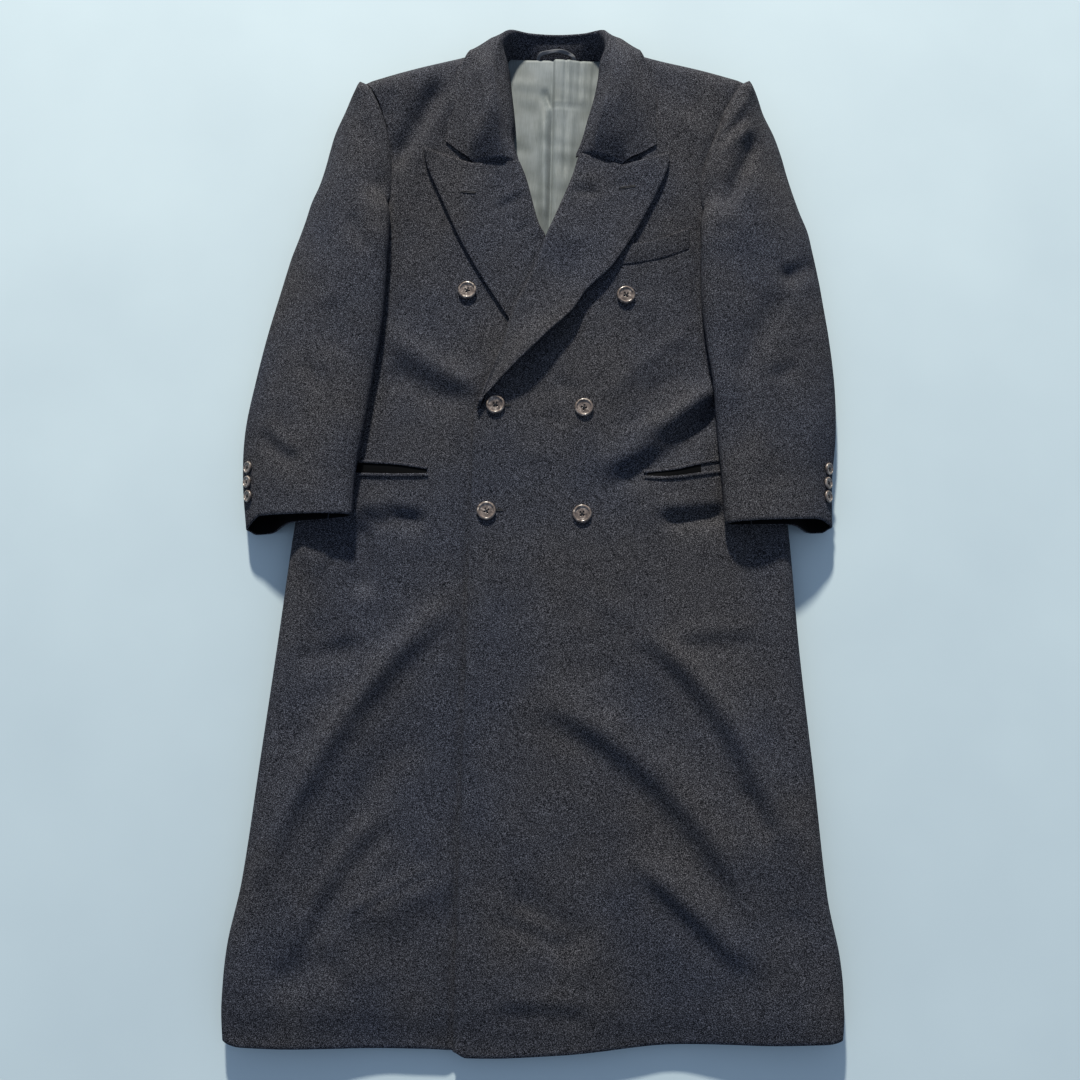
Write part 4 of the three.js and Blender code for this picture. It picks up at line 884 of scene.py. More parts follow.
def loop_rows():
    """A strap bent up into a flat arch, lying on the stand of the collar."""
    angle = math.pi * (1 - np.linspace(0, 1, 41))
    rows = []
    for grow in np.linspace(0, LOOP["width"], 5):
        x = LOOP["x"] + (LOOP["half_width"] + grow) * np.cos(angle)
        up = (LOOP["rise"] + grow) * np.sin(angle) ** 0.7
        z = (LOOP["foot_z"] + LOOP["lean"] * up + LOOP["bow"] * np.sin(angle)
             + LOOP["wave"] * np.sin(5 * angle + grow / 4))
        rows.append(np.stack([x, LOOP["y"] + up, z], axis=-1))
    return np.array(rows)


# Meshes


def shell(name, outer, wall, outward=1, level=None):
    """A piece of cloth from the grid of its outer face: its wall, and edges with rounded corners."""
    rows, cols = outer.shape[:2]
    low, high = np.maximum(np.arange(rows) - 1, 0), np.minimum(np.arange(rows) + 1, rows - 1)
    left, right = np.maximum(np.arange(cols) - 1, 0), np.minimum(np.arange(cols) + 1, cols - 1)
    normal = np.cross(outer[:, right] - outer[:, left], outer[high] - outer[low])
    if level is not None:
        normal[level, 2] = 0
    normal *= outward / np.maximum(np.linalg.norm(normal, axis=2, keepdims=True), 1e-9)
    inner = outer - normal * wall
    faces_in = [outer.copy(), inner.copy()]
    draw = 0.3 * wall
    for grid, source in zip(faces_in, (outer, inner)):
        for edge, near in (((0, slice(None)), (1, slice(None))), ((-1, slice(None)), (-2, slice(None))),
                           ((slice(None), 0), (slice(None), 1)), ((slice(None), -1), (slice(None), -2))):
            step = source[near] - source[edge]
            size = np.linalg.norm(step, axis=-1, keepdims=True)
            grid[edge] += step / np.maximum(size, 1e-6) * np.minimum(draw, 0.5 * size)
    count = rows * cols
    index = np.arange(count).reshape(rows, cols)
    loop = np.concatenate([index[0], index[1:, -1], index[-1, -2::-1], index[-2:0:-1, 0]])
    flat_outer, flat_normal = outer.reshape(-1, 3), normal.reshape(-1, 3)
    rim = [flat_outer[loop] - flat_normal[loop] * wall * share for share in (0.28, 0.72)]
    points = np.concatenate([faces_in[0].reshape(-1, 3), faces_in[1].reshape(-1, 3), *rim])
    quads = np.stack([index[:-1, :-1], index[:-1, 1:], index[1:, 1:], index[1:, :-1]], axis=-1)
    quads = quads.reshape(-1, 4)
    n = len(loop)
    ring = np.arange(n)
    chain = [loop, 2 * count + ring, 2 * count + n + ring, loop + count]
    sides = [np.stack([a[ring], b[ring], b[(ring + 1) % n], a[(ring + 1) % n]], axis=-1)
             for a, b in zip(chain[:-1], chain[1:])]
    faces = np.concatenate([quads, quads[:, ::-1] + count, *sides])
    if outward < 0:
        faces = faces[:, ::-1]
    return add_mesh(name, points, faces)


def add_mesh(name, points, faces):
    mesh = bpy.data.meshes.new(name)
    placed = (np.asarray(points, float) - (ORIGIN_X, ORIGIN_Y, 0)) * MM
    mesh.from_pydata(placed.tolist(), [], [list(map(int, face)) for face in faces])
    mesh.validate()
    mesh.shade_smooth()
    made = bpy.data.objects.new(name, mesh)
    bpy.context.scene.collection.objects.link(made)
    return made


def line_and_shade_inside(made, rows):
    """Gives the inner face of a shell near-black twill: partly the sleeve's real black lining, partly
    painted shade inside the cuffs, where the melton facing would show.
    """
    made.data.materials.append(material("black_twill_painted_shade", painted_shade_twill))
    count = (rows.shape[0] - 1) * (rows.shape[1] - 1)
    for face in made.data.polygons[count:2 * count]:
        face.material_index = 1


def flat_cut(rows):
    """Widest and longest measure along a piece's face, and its area, in metres."""
    wide = np.linalg.norm(np.diff(rows, axis=1), axis=2).sum(axis=1).max() * MM
    long = np.linalg.norm(np.diff(rows, axis=0), axis=2).sum(axis=0).max() * MM
    a, b, c, d = rows[:-1, :-1], rows[:-1, 1:], rows[1:, 1:], rows[1:, :-1]
    halves = [np.linalg.norm(np.cross(one - a, two - a), axis=2) for one, two in ((b, c), (c, d))]
    area = 0.5 * (halves[0] + halves[1])
    return (wide, long), float(np.clip(area.sum() * MM * MM, 0.3 * wide * long, wide * long))


def sewn_piece(node, rows, wall, material, outward=1, level=None):
    """A piece of cloth in place of its solid."""
    made = shell(node + "_cloth", rows, wall, outward, level)
    made.data.materials.append(material)
    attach(made, "root")
    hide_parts(node)
    return made


def laid_piece(node, rows, wall, material, outward=1, level=None):
    """A piece of cloth in place of its solid; the size and area of its flat cut are worked out but not
    used.
    """
    made = sewn_piece(node, rows, wall, material, outward, level)
    cut, area = flat_cut(rows)
    return made


def surface_of(piece):
    """Heights of a finished piece, for what is sewn on it."""
    tree = BVHTree.FromObject(piece, bpy.context.evaluated_depsgraph_get())

    def at(x, y):
        hit = tree.ray_cast(Vector(((x - ORIGIN_X) * MM, (y - ORIGIN_Y) * MM, 1.0)), Vector((0, 0, -1)))[0]
        if hit is None:
            raise RuntimeError(f"no cloth at {x:.0f}, {y:.0f}")
        return hit.z / MM

    return at


def strip_rows(corner, along, up, surface, round_over):
    """A strip sewn on a front: it follows the cloth under it and is rounded over its width."""
    rows = []
    for v in np.linspace(0, 1, up):
        spots = [corner(u, v) for u in np.linspace(0, 1, along)]
        stand = APPLIED_STAND + JET_WALL + round_over * (1 - (2 * v - 1) ** 2)
        rows.append([(x, y, surface(x, y) + stand) for x, y in spots])
    return np.array(rows)


def jet_line(name):
    points = np.array(JETS[name], float)
    return column({"x": points[:, 0], "y": points[:, 1]}, "x", "y"), points[0, 0], points[-1, 0]


def jet_rows(name, surface):
    line, x1, x2 = jet_line(name)
    return strip_rows(lambda u, v: (mix(x1, x2, u), float(line(mix(x1, x2, u))) + (v - 0.5) * JET_WIDTH),
                      60, 7, surface, JET_ROUND)


def slit_shade_rows(side, surface):
    """A near-black strip between two jets: painted shade standing in for the shadow down the slit."""
    upper, lower = (jet_line(f"{side}_pocket_{which}_jet")[0] for which in ("upper", "lower"))
    rows = []
    for v in np.linspace(0, 1, 5):
        line = []
        for u in np.linspace(0, 1, 50):
            x = mix(*SLIT_SHADE_SPANS[side], u)
            y = float(mix(lower(x), upper(x), v))
            line.append((x, y, surface(x, y) + SLIT_SHADE_STAND))
        rows.append(line)
    return np.array(rows)


def welt_rows(surface):
    def corner(u, v):
        low, high = mix(WELT["lower1"], WELT["lower2"], u), mix(WELT["upper1"], WELT["upper2"], u)
        return mix(WELT["x1"], WELT["x2"], u), mix(low, high, v) - WELT["sag"] * math.sin(math.pi * u)

    rows = strip_rows(corner, 48, 12, surface, 0.4)
    rows[..., 2] += np.linspace(-1.0, 1.2, len(rows))[:, None] + 0.3 * np.sin(rows[..., 0] / 7)
    return rows


# Materials

SHADER = "ShaderNodeBsdfPrincipled"


def colour(hex_value):
    """An sRGB hex value as linear red, green, blue and alpha."""
    parts = [int(hex_value[i:i + 2], 16) / 255 for i in (1, 3, 5)]
    return (*(p / 12.92 if p <= 0.04045 else ((p + 0.055) / 1.055) ** 2.4 for p in parts), 1.0)


def add_node(tree, kind, links=(), **settings):
    """Adds a node, sets its inputs and attributes, and links its inputs to other nodes' outputs."""
    made = tree.nodes.new(kind)
    for key, value in settings.items():
        if hasattr(made, key):
            setattr(made, key, value)
        else:
            made.inputs[key.replace("_", " ")].default_value = value
    for name, source in dict(links).items():
        tree.links.new(source, made.inputs[name])
    return made


def fabric(name):
    """An empty node material with its shader, and the place on the coat in millimetres."""
    made = bpy.data.materials.new(name)
    made.use_nodes = True
    tree = made.node_tree
    tree.nodes.clear()
    shader = tree.nodes.new(SHADER)
    out = tree.nodes.new("ShaderNodeOutputMaterial")
    tree.links.new(shader.outputs[0], out.inputs["Surface"])
    place = tree.nodes.new("ShaderNodeTexCoord")
    scaled = tree.nodes.new("ShaderNodeVectorMath")
    scaled.operation = "SCALE"
    scaled.inputs["Scale"].default_value = 1 / MM
    tree.links.new(place.outputs["Object"], scaled.inputs[0])
    return made, tree, shader, scaled.outputs[0]


def set_inputs(shader, **values):
    for key, value in values.items():
        shader.inputs[key.replace("_", " ")].default_value = value


def ramp(tree, source, stops):
    """Colours over a pattern's value, as places along it and sRGB hex values."""
    made = tree.nodes.new("ShaderNodeValToRGB")
    elements = made.color_ramp.elements
    while len(elements) < len(stops):
        elements.new(0.5)
    for element, (at, value) in zip(elements, stops):
        element.position = at
        element.color = colour(value)
    tree.links.new(source, made.inputs["Fac"])
    return made.outputs["Color"]


def cashmere_melton(props):
    """Fulled and raised cashmere melton: matt, felted, with tufts that catch the light."""
    made, tree, shader, mm = fabric("cashmere_melton_napped")
    tufts = add_node(tree, "ShaderNodeTexNoise", {"Vector": mm}, Scale=1 / props.tuft_mm, Detail=3.0,
                     Roughness=0.6, Distortion=0.8)
    worn_nap = add_node(tree, "ShaderNodeTexNoise", {"Vector": mm}, Scale=1 / 9, Detail=3.0,
                        Roughness=0.6)
    tint = add_node(tree, "ShaderNodeTexNoise", {"Vector": mm}, Scale=1 / 150, Detail=2.0)
    shade = ramp(tree, tufts.outputs["Fac"], [(0.37, props.cloth_dark), (0.5, props.cloth_mid),
                                              (0.64, props.cloth_light)])
    brushed = add_node(tree, "ShaderNodeMixRGB", {"Color1": shade, "Color2": ramp(
        tree, worn_nap.outputs["Fac"], [(0.35, "#f4f4f5"), (0.65, "#ffffff")])},
        blend_type="MULTIPLY", Fac=1.0)
    drift = add_node(tree, "ShaderNodeMixRGB", {"Color1": brushed.outputs[0], "Color2": ramp(
        tree, tint.outputs["Fac"], [(0.35, "#f0f3fb"), (0.65, "#fffaf4")])},
        blend_type="MULTIPLY", Fac=1.0)
    tree.links.new(drift.outputs[0], shader.inputs["Base Color"])
    fine = add_node(tree, "ShaderNodeBump", {"Height": tufts.outputs["Fac"]}, Strength=0.8,
                    Distance=0.0005)
    tree.links.new(fine.outputs[0], shader.inputs["Normal"])
    set_inputs(shader, Roughness=0.94, IOR=1.45, Specular_IOR_Level=0.04, Sheen_Weight=props.nap_sheen,
               Sheen_Roughness=0.55, Sheen_Tint=colour("#9aa0ab"))
    return made


def viscose_satin(props):
    """Viscose satin lining: smooth, with a soft grey-green shine along its warp."""
    made, tree, shader, mm = fabric("viscose_satin_lining")
    stretched = add_node(tree, "ShaderNodeVectorMath", {0: mm}, operation="MULTIPLY")
    stretched.inputs[1].default_value = (1.0, 0.05, 1.0)
    warp = add_node(tree, "ShaderNodeTexNoise", {"Vector": stretched.outputs[0]}, Scale=1 / 0.9,
                    Detail=3.0)
    patches = add_node(tree, "ShaderNodeTexNoise", {"Vector": mm}, Scale=1 / 38, Detail=3.0)
    base = ramp(tree, patches.outputs["Fac"], [(0.35, props.lining_dark), (0.68, props.lining_light)])
    drift = add_node(tree, "ShaderNodeMixRGB", {"Color1": base, "Color2": ramp(
        tree, warp.outputs["Fac"], [(0.3, "#d8dcd8"), (0.7, "#ffffff")])},
        blend_type="MULTIPLY", Fac=0.7)
    tree.links.new(drift.outputs[0], shader.inputs["Base Color"])
    bump = add_node(tree, "ShaderNodeBump", {"Height": warp.outputs["Fac"]}, Strength=0.25,
                    Distance=0.0003)
    tree.links.new(bump.outputs[0], shader.inputs["Normal"])
    set_inputs(shader, Roughness=0.6, Specular_IOR_Level=0.3, Sheen_Weight=0.15)
    return made


def rayon_braid():
    """Woven rayon strap of the loop: fine ribs across it, slightly glossy."""
    made, tree, shader, mm = fabric("rayon_woven_strap")
    ribs = add_node(tree, "ShaderNodeTexWave", {"Vector": mm}, Scale=1.1, Distortion=1.5,
                    bands_direction="X")
    tone = ramp(tree, ribs.outputs["Fac"], [(0.2, "#4a4b4f"), (0.8, "#86878a")])
    tree.links.new(tone, shader.inputs["Base Color"])
    bump = add_node(tree, "ShaderNodeBump", {"Height": ribs.outputs["Fac"]}, Strength=0.4,
                    Distance=0.0003)
    tree.links.new(bump.outputs[0], shader.inputs["Normal"])
    set_inputs(shader, Roughness=0.6)
    return made


def polished_horn(props):
    """Dark buffalo horn, turned and polished: streaks that swirl, pale ones among them."""
    made, tree, shader, mm = fabric("buffalo_horn_polished")
    streaks = add_node(tree, "ShaderNodeTexNoise", {"Vector": mm}, Scale=1 / 7, Detail=5.0,
                       Distortion=1.6)
    tone = ramp(tree, streaks.outputs["Fac"],
                [(0.3, props.horn_dark), (0.55, props.horn_mid), (0.75, props.horn_light)])
    tree.links.new(tone, shader.inputs["Base Color"])
    set_inputs(shader, Roughness=0.28, IOR=1.54, Coat_Weight=0.25, Coat_Roughness=0.15)
    return made


def polyester_thread():
    """Corespun polyester sewing thread, near black, with a slight twist shine."""
    made, tree, shader, mm = fabric("polyester_sewing_thread")
    twist = add_node(tree, "ShaderNodeTexWave", {"Vector": mm}, Scale=2.2, Distortion=0.5,
                     bands_direction="DIAGONAL")
    tone = ramp(tree, twist.outputs["Fac"], [(0.2, "#101115"), (0.8, "#2b2c32")])
    tree.links.new(tone, shader.inputs["Base Color"])
    set_inputs(shader, Roughness=0.62)
    return made


def painted_shade_twill():
    """Near-black polyester twill, dull and finely ribbed: painted shade in the pockets' slits, and the
    sleeves' black lining darkened further to paint the shade inside them.
    """
    made, tree, shader, mm = fabric("black_twill_painted_shade")
    twill = add_node(tree, "ShaderNodeTexWave", {"Vector": mm}, Scale=1.4, Distortion=0.6,
                     bands_direction="DIAGONAL")
    # Near-black tones, darker than black lining or pocketing would show: painted shade
    tone = ramp(tree, twill.outputs["Fac"], [(0.2, "#050506"), (0.8, "#111214")])
    tree.links.new(tone, shader.inputs["Base Color"])
    set_inputs(shader, Roughness=0.8, Specular_IOR_Level=0.1)
    return made


def painted_floor():
    """Plain pale painted board, matt, with a faint drift in its tone."""
    made, tree, shader, mm = fabric("matt_floor_paint")
    drift = add_node(tree, "ShaderNodeTexNoise", {"Vector": mm}, Scale=1 / 240, Detail=4.0)
    tone = ramp(tree, drift.outputs["Fac"], [(0.25, "#b6c4c9"), (0.75, "#bdcbcf")])
    tree.links.new(tone, shader.inputs["Base Color"])
    set_inputs(shader, Roughness=0.85)
    return made


# Sizes and colours that a user may change


def shade_property(name, description, default):
    return bpy.props.StringProperty(name=name, description=description, default=default)


class OvercoatProperties(bpy.types.PropertyGroup):
    tuft_mm: bpy.props.FloatProperty(name="Tuft size", description="Size of the nap's tufts in millimetres",
                                     default=0.95, min=0.5, max=8)
    nap_sheen: bpy.props.FloatProperty(name="Nap sheen", default=0.01, min=0, max=1, subtype="FACTOR",
                                       description="How much the raised nap catches the light")
    cloth_dark: shade_property("Cloth, dark", "Between the tufts, sRGB hex", "#0c0d10")
    cloth_mid: shade_property("Cloth", "Body colour of the melton, sRGB hex", "#323337")
    cloth_light: shade_property("Cloth, light", "Tips of the tufts, sRGB hex", "#7c7d83")
    lining_dark: shade_property("Lining, dark", "Shaded satin, sRGB hex", "#6e7474")
    lining_light: shade_property("Lining, light", "Lit satin, sRGB hex", "#82888a")
    horn_dark: shade_property("Horn, dark", "Darkest streaks of the buttons, sRGB hex", "#453c36")
    horn_mid: shade_property("Horn", "Body colour of the buttons, sRGB hex", "#7a6e66")
    horn_light: shade_property("Horn, light", "Palest streaks of the buttons, sRGB hex", "#c4b9ac")


class StageProperties(bpy.types.PropertyGroup):
    camera_place: bpy.props.FloatVectorProperty(
        name="Camera", description="Where the camera stands", subtype="TRANSLATION", unit="LENGTH",
        default=(0.0081, -0.2791, 1.3270))
    lens: bpy.props.FloatProperty(name="Lens", default=36.0, min=10,
                                  description="Focal length of the 36 mm wide frame, in millimetres")
    sun_strength: bpy.props.FloatProperty(name="Key light", description="Power of the key light in watts",
                                          default=575.0, min=0)
    sky_strength: bpy.props.FloatProperty(name="Fill", description="Brightness of the studio's soft fill",
                                          default=0.46, min=0)


def cloth_properties():
    return bpy.context.scene.overcoat


def material(name, maker):
    return bpy.data.materials.get(name) or maker()


def melton():
    return material("cashmere_melton_napped", lambda: cashmere_melton(cloth_properties()))


# Operators, one for each piece or group of like pieces


class COAT_OT_back(bpy.types.Operator):
    """Back, flat on the floor between its rolled sides"""
    bl_idname = "coat.back"
    bl_label = "Back"

    def execute(self, context):
        rows = back_rows()
        level = np.zeros(rows.shape[:2], bool)
        level[on_side_seam(rows), 0] = level[on_side_seam(rows), -1] = True
        level[-1] = rows[-1, :, 2] > 1
        laid_piece("back", rows, WALL, melton(), -1, level)
        return {"FINISHED"}


class COAT_OT_lining(bpy.types.Operator):
    """Satin lining in the neck, with its pleat, and the hanger loop over it"""
    bl_idname = "coat.lining"
    bl_label = "Lining and loop"

    def execute(self, context):
        props = cloth_properties()
        satin = material("viscose_satin_lining", lambda: viscose_satin(props))
        strap = material("rayon_woven_strap", rayon_braid)
        loop = sewn_piece("hanger_loop", loop_rows(), LOOP["wall"], strap)
        laid_piece("back_lining", lining_rows(), LINING_WALL, satin)
        return {"FINISHED"}


class COAT_OT_fronts(bpy.types.Operator):
    """Both fronts, the left one lapped over the right, with their pocket jets and the breast welt"""
    bl_idname = "coat.fronts"
    bl_label = "Fronts"

    def execute(self, context):
        for node, rows, outward in (("right_front", front_rows("left"), 1),
                                    ("left_front", front_rows("right"), -1)):
            level = np.zeros(rows.shape[:2], bool)
            level[on_side_seam(rows), 0] = True
            level[-1] = True
            made = sewn_piece(node, rows, WALL, melton(), outward, level)
            surface = surface_of(made)
            side = node.split("_")[0]
            pieces = [sewn_piece(jet, jet_rows(jet, surface), JET_WALL, melton())
                      for jet in JETS if jet.startswith(side)]
            # The near-black strip in the slit between the jets is painted shade
            slit = shell(side + "_pocket_opening", slit_shade_rows(side, surface), SLIT_SHADE_WALL)
            slit.data.materials.append(material("black_twill_painted_shade", painted_shade_twill))
            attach(slit, "root")
            pieces.append(slit)
            if node == "left_front":
                welt = sewn_piece("breast_welt", welt_rows(surface), JET_WALL, melton())
                pieces.append(welt)
            cut, area = flat_cut(rows)
        return {"FINISHED"}


class COAT_OT_sleeves(bpy.types.Operator):
    """Two-piece sleeves, lying along the sides"""
    bl_idname = "coat.sleeves"
    bl_label = "Sleeves"

    def execute(self, context):
        for side, wearer in (("left", "right"), ("right", "left")):
            for part, rows, seam, rests_on in (("top", top_sleeve_rows(side), -1, f"{wearer}_front"),
                                               ("under", under_sleeve_rows(side), 0, "floor")):
                level = np.zeros(rows.shape[:2], bool)
                level[:, seam] = True
                made = laid_piece(f"{wearer}_{part}_sleeve", rows, WALL, melton(),
                                  SIGN[side], level)
                # Near-black inner faces: black lining, with painted shade inside the cuffs
                line_and_shade_inside(made, rows)
        return {"FINISHED"}


class COAT_OT_lapels(bpy.types.Operator):
    """Peak lapels, turned back over the fronts"""
    bl_idname = "coat.lapels"
    bl_label = "Lapels"

    def execute(self, context):
        for side, wearer, outward in (("left", "right", 1), ("right", "left", -1)):
            laid_piece(f"{wearer}_lapel", lapel_rows(side), WALL, melton(),
                       outward)
        return {"FINISHED"}


class COAT_OT_collar(bpy.types.Operator):
    """Collar: stand, fold and fall"""
    bl_idname = "coat.collar"
    bl_label = "Collar"

    def execute(self, context):
        laid_piece("collar", collar_rows(), WALL, melton(), -1)
        return {"FINISHED"}


def button_grid(radius, height, rim, dish, hole_place, hole_radius, sides=56):
    """Turned button with a dished face, a rolled rim and four drilled holes, on its back at Z = 0."""
    face = radius - 2 * rim
    profile = [(r, height - dish - 0.25 * math.cos(math.pi * r / (2 * face)))
               for r in np.linspace(0, face, 18)]
    profile += [(face + 0.55 * rim * s, height - dish * (1 - s * s)) for s in (0.35, 0.65, 0.9, 1.0)]
    for angle in np.linspace(0.5, -0.5, 9) * math.pi:
        profile.append((radius - 0.45 * height + 0.45 * height * math.cos(angle),
                        0.54 * height + 0.46 * height * math.sin(angle)))
    profile += [(radius * 0.7, 0.0), (0.0, 0.0)]
    turn = np.linspace(0, math.tau, sides, endpoint=False)
    points = [(0.0, 0.0, profile[0][1])]
    for r, z in profile[1:-1]:
        for a in turn:
            x, y = r * math.cos(a), r * math.sin(a)
            if r < face:
                near = min(math.hypot(x - hole_place * i, y - hole_place * j)
                           for i in (-1, 1) for j in (-1, 1))
                drop = 0.75 * height * float(smooth(hole_radius * 1.25, hole_radius * 0.75, near))
                points.append((x, y, z - drop))
            else:
                points.append((x, y, z))
    points.append((0.0, 0.0, 0.0))
    rings = len(profile) - 2
    faces = [(0, 1 + i, 1 + (i + 1) % sides) for i in range(sides)]
    for k in range(rings - 1):
        a, b = 1 + k * sides, 1 + (k + 1) * sides
        faces += [(a + i, b + i, b + (i + 1) % sides, a + (i + 1) % sides) for i in range(sides)]
    last = 1 + (rings - 1) * sides
    faces += [(last + i, len(points) - 1, last + (i + 1) % sides) for i in range(sides)]
    return np.array(points), faces


def tube(path, radius, sides=7):
    """A closed round strand through a list of points."""
    path = np.asarray(path, float)
    ahead = np.gradient(path, axis=0)
    ahead /= np.linalg.norm(ahead, axis=1, keepdims=True)
    side = np.cross(ahead, (0.0, 0.0, 1.0))
    side /= np.maximum(np.linalg.norm(side, axis=1, keepdims=True), 1e-9)
    up = np.cross(side, ahead)
    turn = np.linspace(0, math.tau, sides, endpoint=False)
    rings = [p + radius * (math.cos(a) * s + math.sin(a) * u)
             for p, s, u in zip(path, side, up) for a in turn]
    n = len(path)
    faces = [(k * sides + i, k * sides + (i + 1) % sides,
              (k + 1) * sides + (i + 1) % sides, (k + 1) * sides + i)
             for k in range(n - 1) for i in range(sides)]
    faces += [tuple(range(sides))[::-1], tuple((n - 1) * sides + i for i in range(sides))]
    return np.array(rings), faces


def seat_of(node):
    """Centre of a button's back in millimetres, and the way it faces, read from its solid."""
    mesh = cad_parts[node].data
    points = np.empty(len(mesh.vertices) * 3)
    mesh.vertices.foreach_get("co", points)
    points = points.reshape(-1, 3) / MM + (ORIGIN_X, ORIGIN_Y, 0)
    low, high = points.min(0), points.max(0)
    rough = (low + high) / 2
    turn = np.linalg.svd(points - points.mean(0), full_matrices=False)[2]
    normal = turn[2] * (1 if turn[2][2] >= 0 else -1)
    depth = (points - rough) @ normal
    return rough + normal * depth.min(), normal


def place(points, seat, normal, turn_by):
    """Turns a shape made at Z = 0 to face along the normal, and moves it to its seat."""
    facing = Vector((0, 0, 1)).rotation_difference(Vector(normal)).to_matrix()
    turned = facing @ Matrix.Rotation(turn_by, 3, "Z")
    return points @ np.array(turned).T + seat


def merge(parts):
    points, faces, start = [], [], 0
    for part_points, part_faces in parts:
        points.append(part_points)
        faces += [tuple(i + start for i in face) for face in part_faces]
        start += len(part_points)
    return np.concatenate(points), faces


class COAT_OT_buttons(bpy.types.Operator):
    """Four-hole horn buttons on the fronts and cuffs, sewn with crossed thread"""
    bl_idname = "coat.buttons"
    bl_label = "Buttons"

    def execute(self, context):
        props = cloth_properties()
        horn = material("buffalo_horn_polished", lambda: polished_horn(props))
        thread = material("polyester_sewing_thread", polyester_thread)
        strands = []
        for group, sizes in ((FRONT_BUTTONS, FRONT_BUTTON_SIZES), (CUFF_BUTTONS, CUFF_BUTTON_SIZES)):
            _, height, _, dish, hole_place, _ = sizes
            for k, node in enumerate(group):
                seat, normal = seat_of(node)
                turn_by = BUTTON_TURNS[k]
                points, faces = button_grid(*sizes)
                made = add_mesh(node + "_horn", place(points, seat, normal, turn_by), faces)
                made.data.materials.append(horn)
                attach(made, "root")
                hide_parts(node)
                face_z = height - dish - 0.2
                for i, j in ((1, 1), (1, -1)):
                    t = np.linspace(-1, 1, 9)
                    arch = face_z + 0.5 - 1.1 * np.abs(t) ** 5
                    path = np.stack([t * i * hole_place, t * j * hole_place, arch], axis=-1)
                    for shift in (-THREAD_APART, THREAD_APART):
                        moved = path + np.array([-j * shift * 0.7, i * shift * 0.7, 0])
                        tube_points, tube_faces = tube(moved, THREAD_RADIUS)
                        strands.append((place(tube_points, seat, normal, turn_by), tube_faces))
        sewn = add_mesh("button_threads", *merge(strands))
        sewn.data.materials.append(thread)
        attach(sewn, "root")
        return {"FINISHED"}


class COAT_OT_buttonholes(bpy.types.Operator):
    """Worked buttonholes on the lapels and beside the fastened buttons"""
    bl_idname = "coat.buttonholes"
    bl_label = "Buttonholes"

    def execute(self, context):
        thread = material("polyester_sewing_thread", polyester_thread)
        strands = []
        for name, (x1, y1, x2, y2) in BUTTONHOLES.items():
            carrier = name.replace("buttonhole", "cloth") if "lapel" in name else "left_front_cloth"
            surface = surface_of(bpy.data.objects[carrier])
            length = math.hypot(x2 - x1, y2 - y1)
            along = np.array([(x2 - x1) / length, (y2 - y1) / length])
            aside = np.array([-along[1], along[0]])
            for lane in (-LIP_APART, LIP_APART):
                path = []
                for t in np.linspace(0, 1, 15):
                    out = aside * lane * (1 - 0.5 * abs(2 * t - 1) ** 6)
                    spot = np.array([x1, y1]) + along * t * length + out
                    path.append((*spot, surface(*spot) + STITCH_STAND))
                strands.append(tube(path, STITCH_RADIUS))
        made = add_mesh("worked_buttonholes", *merge(strands))
        made.data.materials.append(thread)
        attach(made, "root")
        return {"FINISHED"}


FLOOR_HALF, FLOOR_Z = 6.0, -0.0004
LAMP_PLACE, LAMP_SIZE, LAMP_COLOUR = (-0.6, 5.62, 3.0), 0.45, "#fff9ec"
SKY_COLOUR = "#d0e3ff"
SENSOR_WIDTH = 36.0
CAMERA_RIGHT, CAMERA_UP = (0.99973, 0.02339, 0.0), (-0.02303, 0.98454, 0.17365)


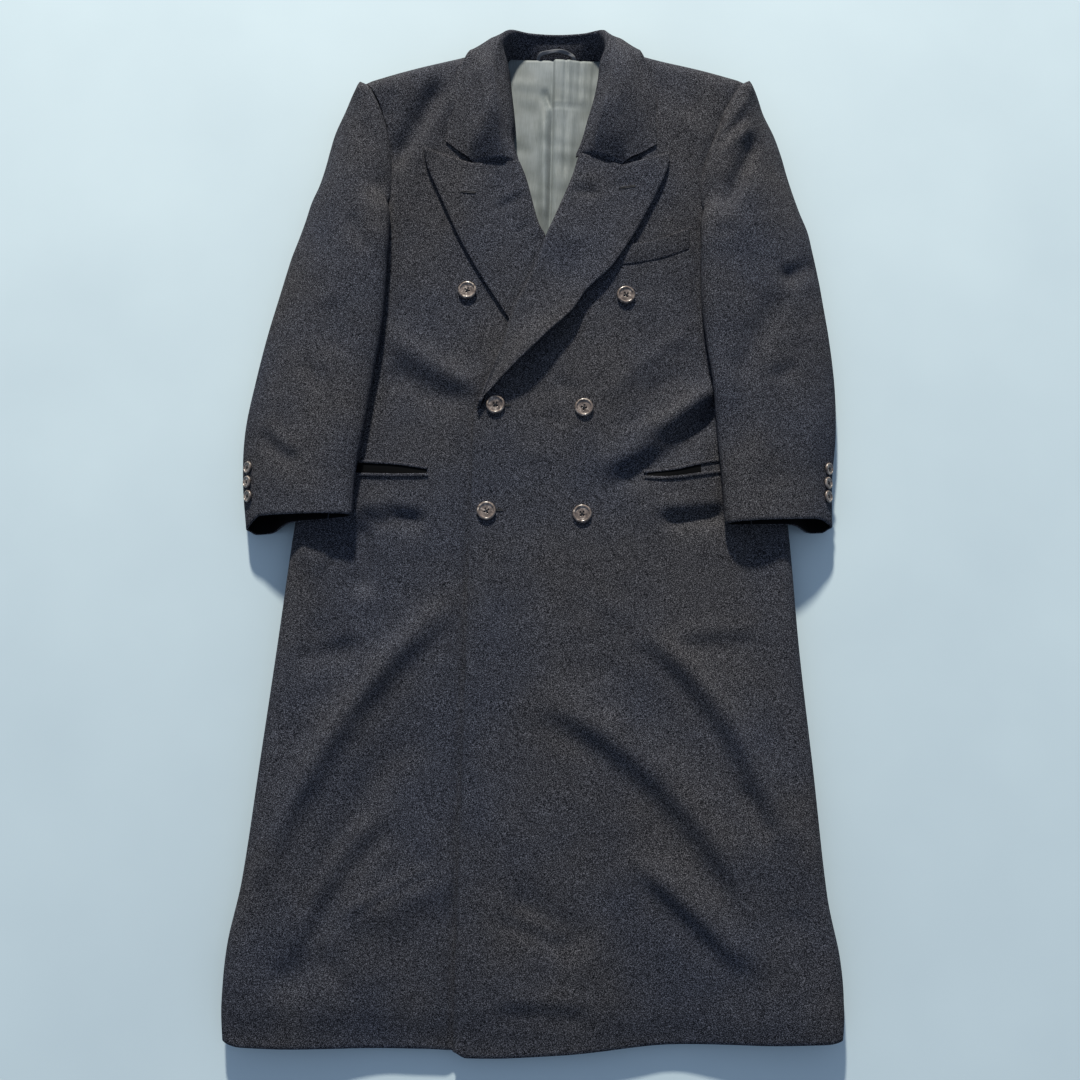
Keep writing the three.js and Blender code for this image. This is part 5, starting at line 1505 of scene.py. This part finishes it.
class COAT_OT_stage(bpy.types.Operator):
    """Pale floor, soft studio light, and the camera over the coat"""
    bl_idname = "coat.stage"
    bl_label = "Stage"

    def execute(self, context):
        props = context.scene.overcoat_stage
        corners = [(x * FLOOR_HALF, y * FLOOR_HALF, 0) for x, y in ((-1, -1), (1, -1), (1, 1), (-1, 1))]
        floor = bpy.data.meshes.new("floor")
        floor.from_pydata(corners, [], [(0, 1, 2, 3)])
        ground = bpy.data.objects.new("floor", floor)
        ground.location.z = FLOOR_Z
        context.scene.collection.objects.link(ground)
        ground.data.materials.append(material("matt_floor_paint", painted_floor))
        key = bpy.data.lights.new("key", "AREA")
        key.shape = "DISK"
        key.size = LAMP_SIZE
        key.energy = props.sun_strength
        key.color = colour(LAMP_COLOUR)[:3]
        lamp = bpy.data.objects.new("key", key)
        lamp.location = LAMP_PLACE
        lamp.rotation_euler = (Vector((0, 0, 0)) - lamp.location).to_track_quat("-Z", "Y").to_euler()
        context.scene.collection.objects.link(lamp)
        world = bpy.data.worlds.new("studio")
        world.use_nodes = True
        sky = world.node_tree.nodes["Background"]
        sky.inputs["Color"].default_value = colour(SKY_COLOUR)
        sky.inputs["Strength"].default_value = props.sky_strength
        context.scene.world = world
        context.scene.view_settings.view_transform = "Standard"
        context.scene.view_settings.look = "Medium High Contrast"
        camera = bpy.data.cameras.new("camera")
        camera.lens = props.lens
        camera.sensor_width = SENSOR_WIDTH
        camera.clip_end = 50
        eye = bpy.data.objects.new("camera", camera)
        right, up = Vector(CAMERA_RIGHT), Vector(CAMERA_UP)
        back = right.cross(up).normalized()
        turn = Matrix((right, up, back)).transposed().to_4x4()
        eye.matrix_world = Matrix.Translation(Vector(props.camera_place)) @ turn
        context.scene.collection.objects.link(eye)
        context.scene.camera = eye
        return {"FINISHED"}


class COAT_PT_panel(bpy.types.Panel):
    """Sizes, colours and pieces of the overcoat"""
    bl_idname = "COAT_PT_panel"
    bl_label = "Overcoat"
    bl_space_type = "VIEW_3D"
    bl_region_type = "UI"
    bl_category = "Overcoat"

    def draw(self, context):
        for group in (context.scene.overcoat, context.scene.overcoat_stage):
            for name in group.__annotations__:
                self.layout.prop(group, name)
        for step in STEPS:
            self.layout.operator(step)


STEPS = ("coat.stage", "coat.back", "coat.lining", "coat.fronts", "coat.sleeves", "coat.lapels",
         "coat.collar", "coat.buttons", "coat.buttonholes")
CLASSES = (
    OvercoatProperties, StageProperties, COAT_OT_stage, COAT_OT_back, COAT_OT_lining, COAT_OT_fronts,
    COAT_OT_sleeves, COAT_OT_lapels, COAT_OT_collar, COAT_OT_buttons,
    COAT_OT_buttonholes, COAT_PT_panel,
)


def register():
    for cls in CLASSES:
        bpy.utils.register_class(cls)
    bpy.types.Scene.overcoat = bpy.props.PointerProperty(type=OvercoatProperties)
    bpy.types.Scene.overcoat_stage = bpy.props.PointerProperty(type=StageProperties)


def unregister():
    del bpy.types.Scene.overcoat_stage
    del bpy.types.Scene.overcoat
    for cls in reversed(CLASSES):
        bpy.utils.unregister_class(cls)


def main():
    register()
    for step in STEPS:
        group, name = step.split(".")
        getattr(getattr(bpy.ops, group), name)()


if __name__ == "__main__":
    main()
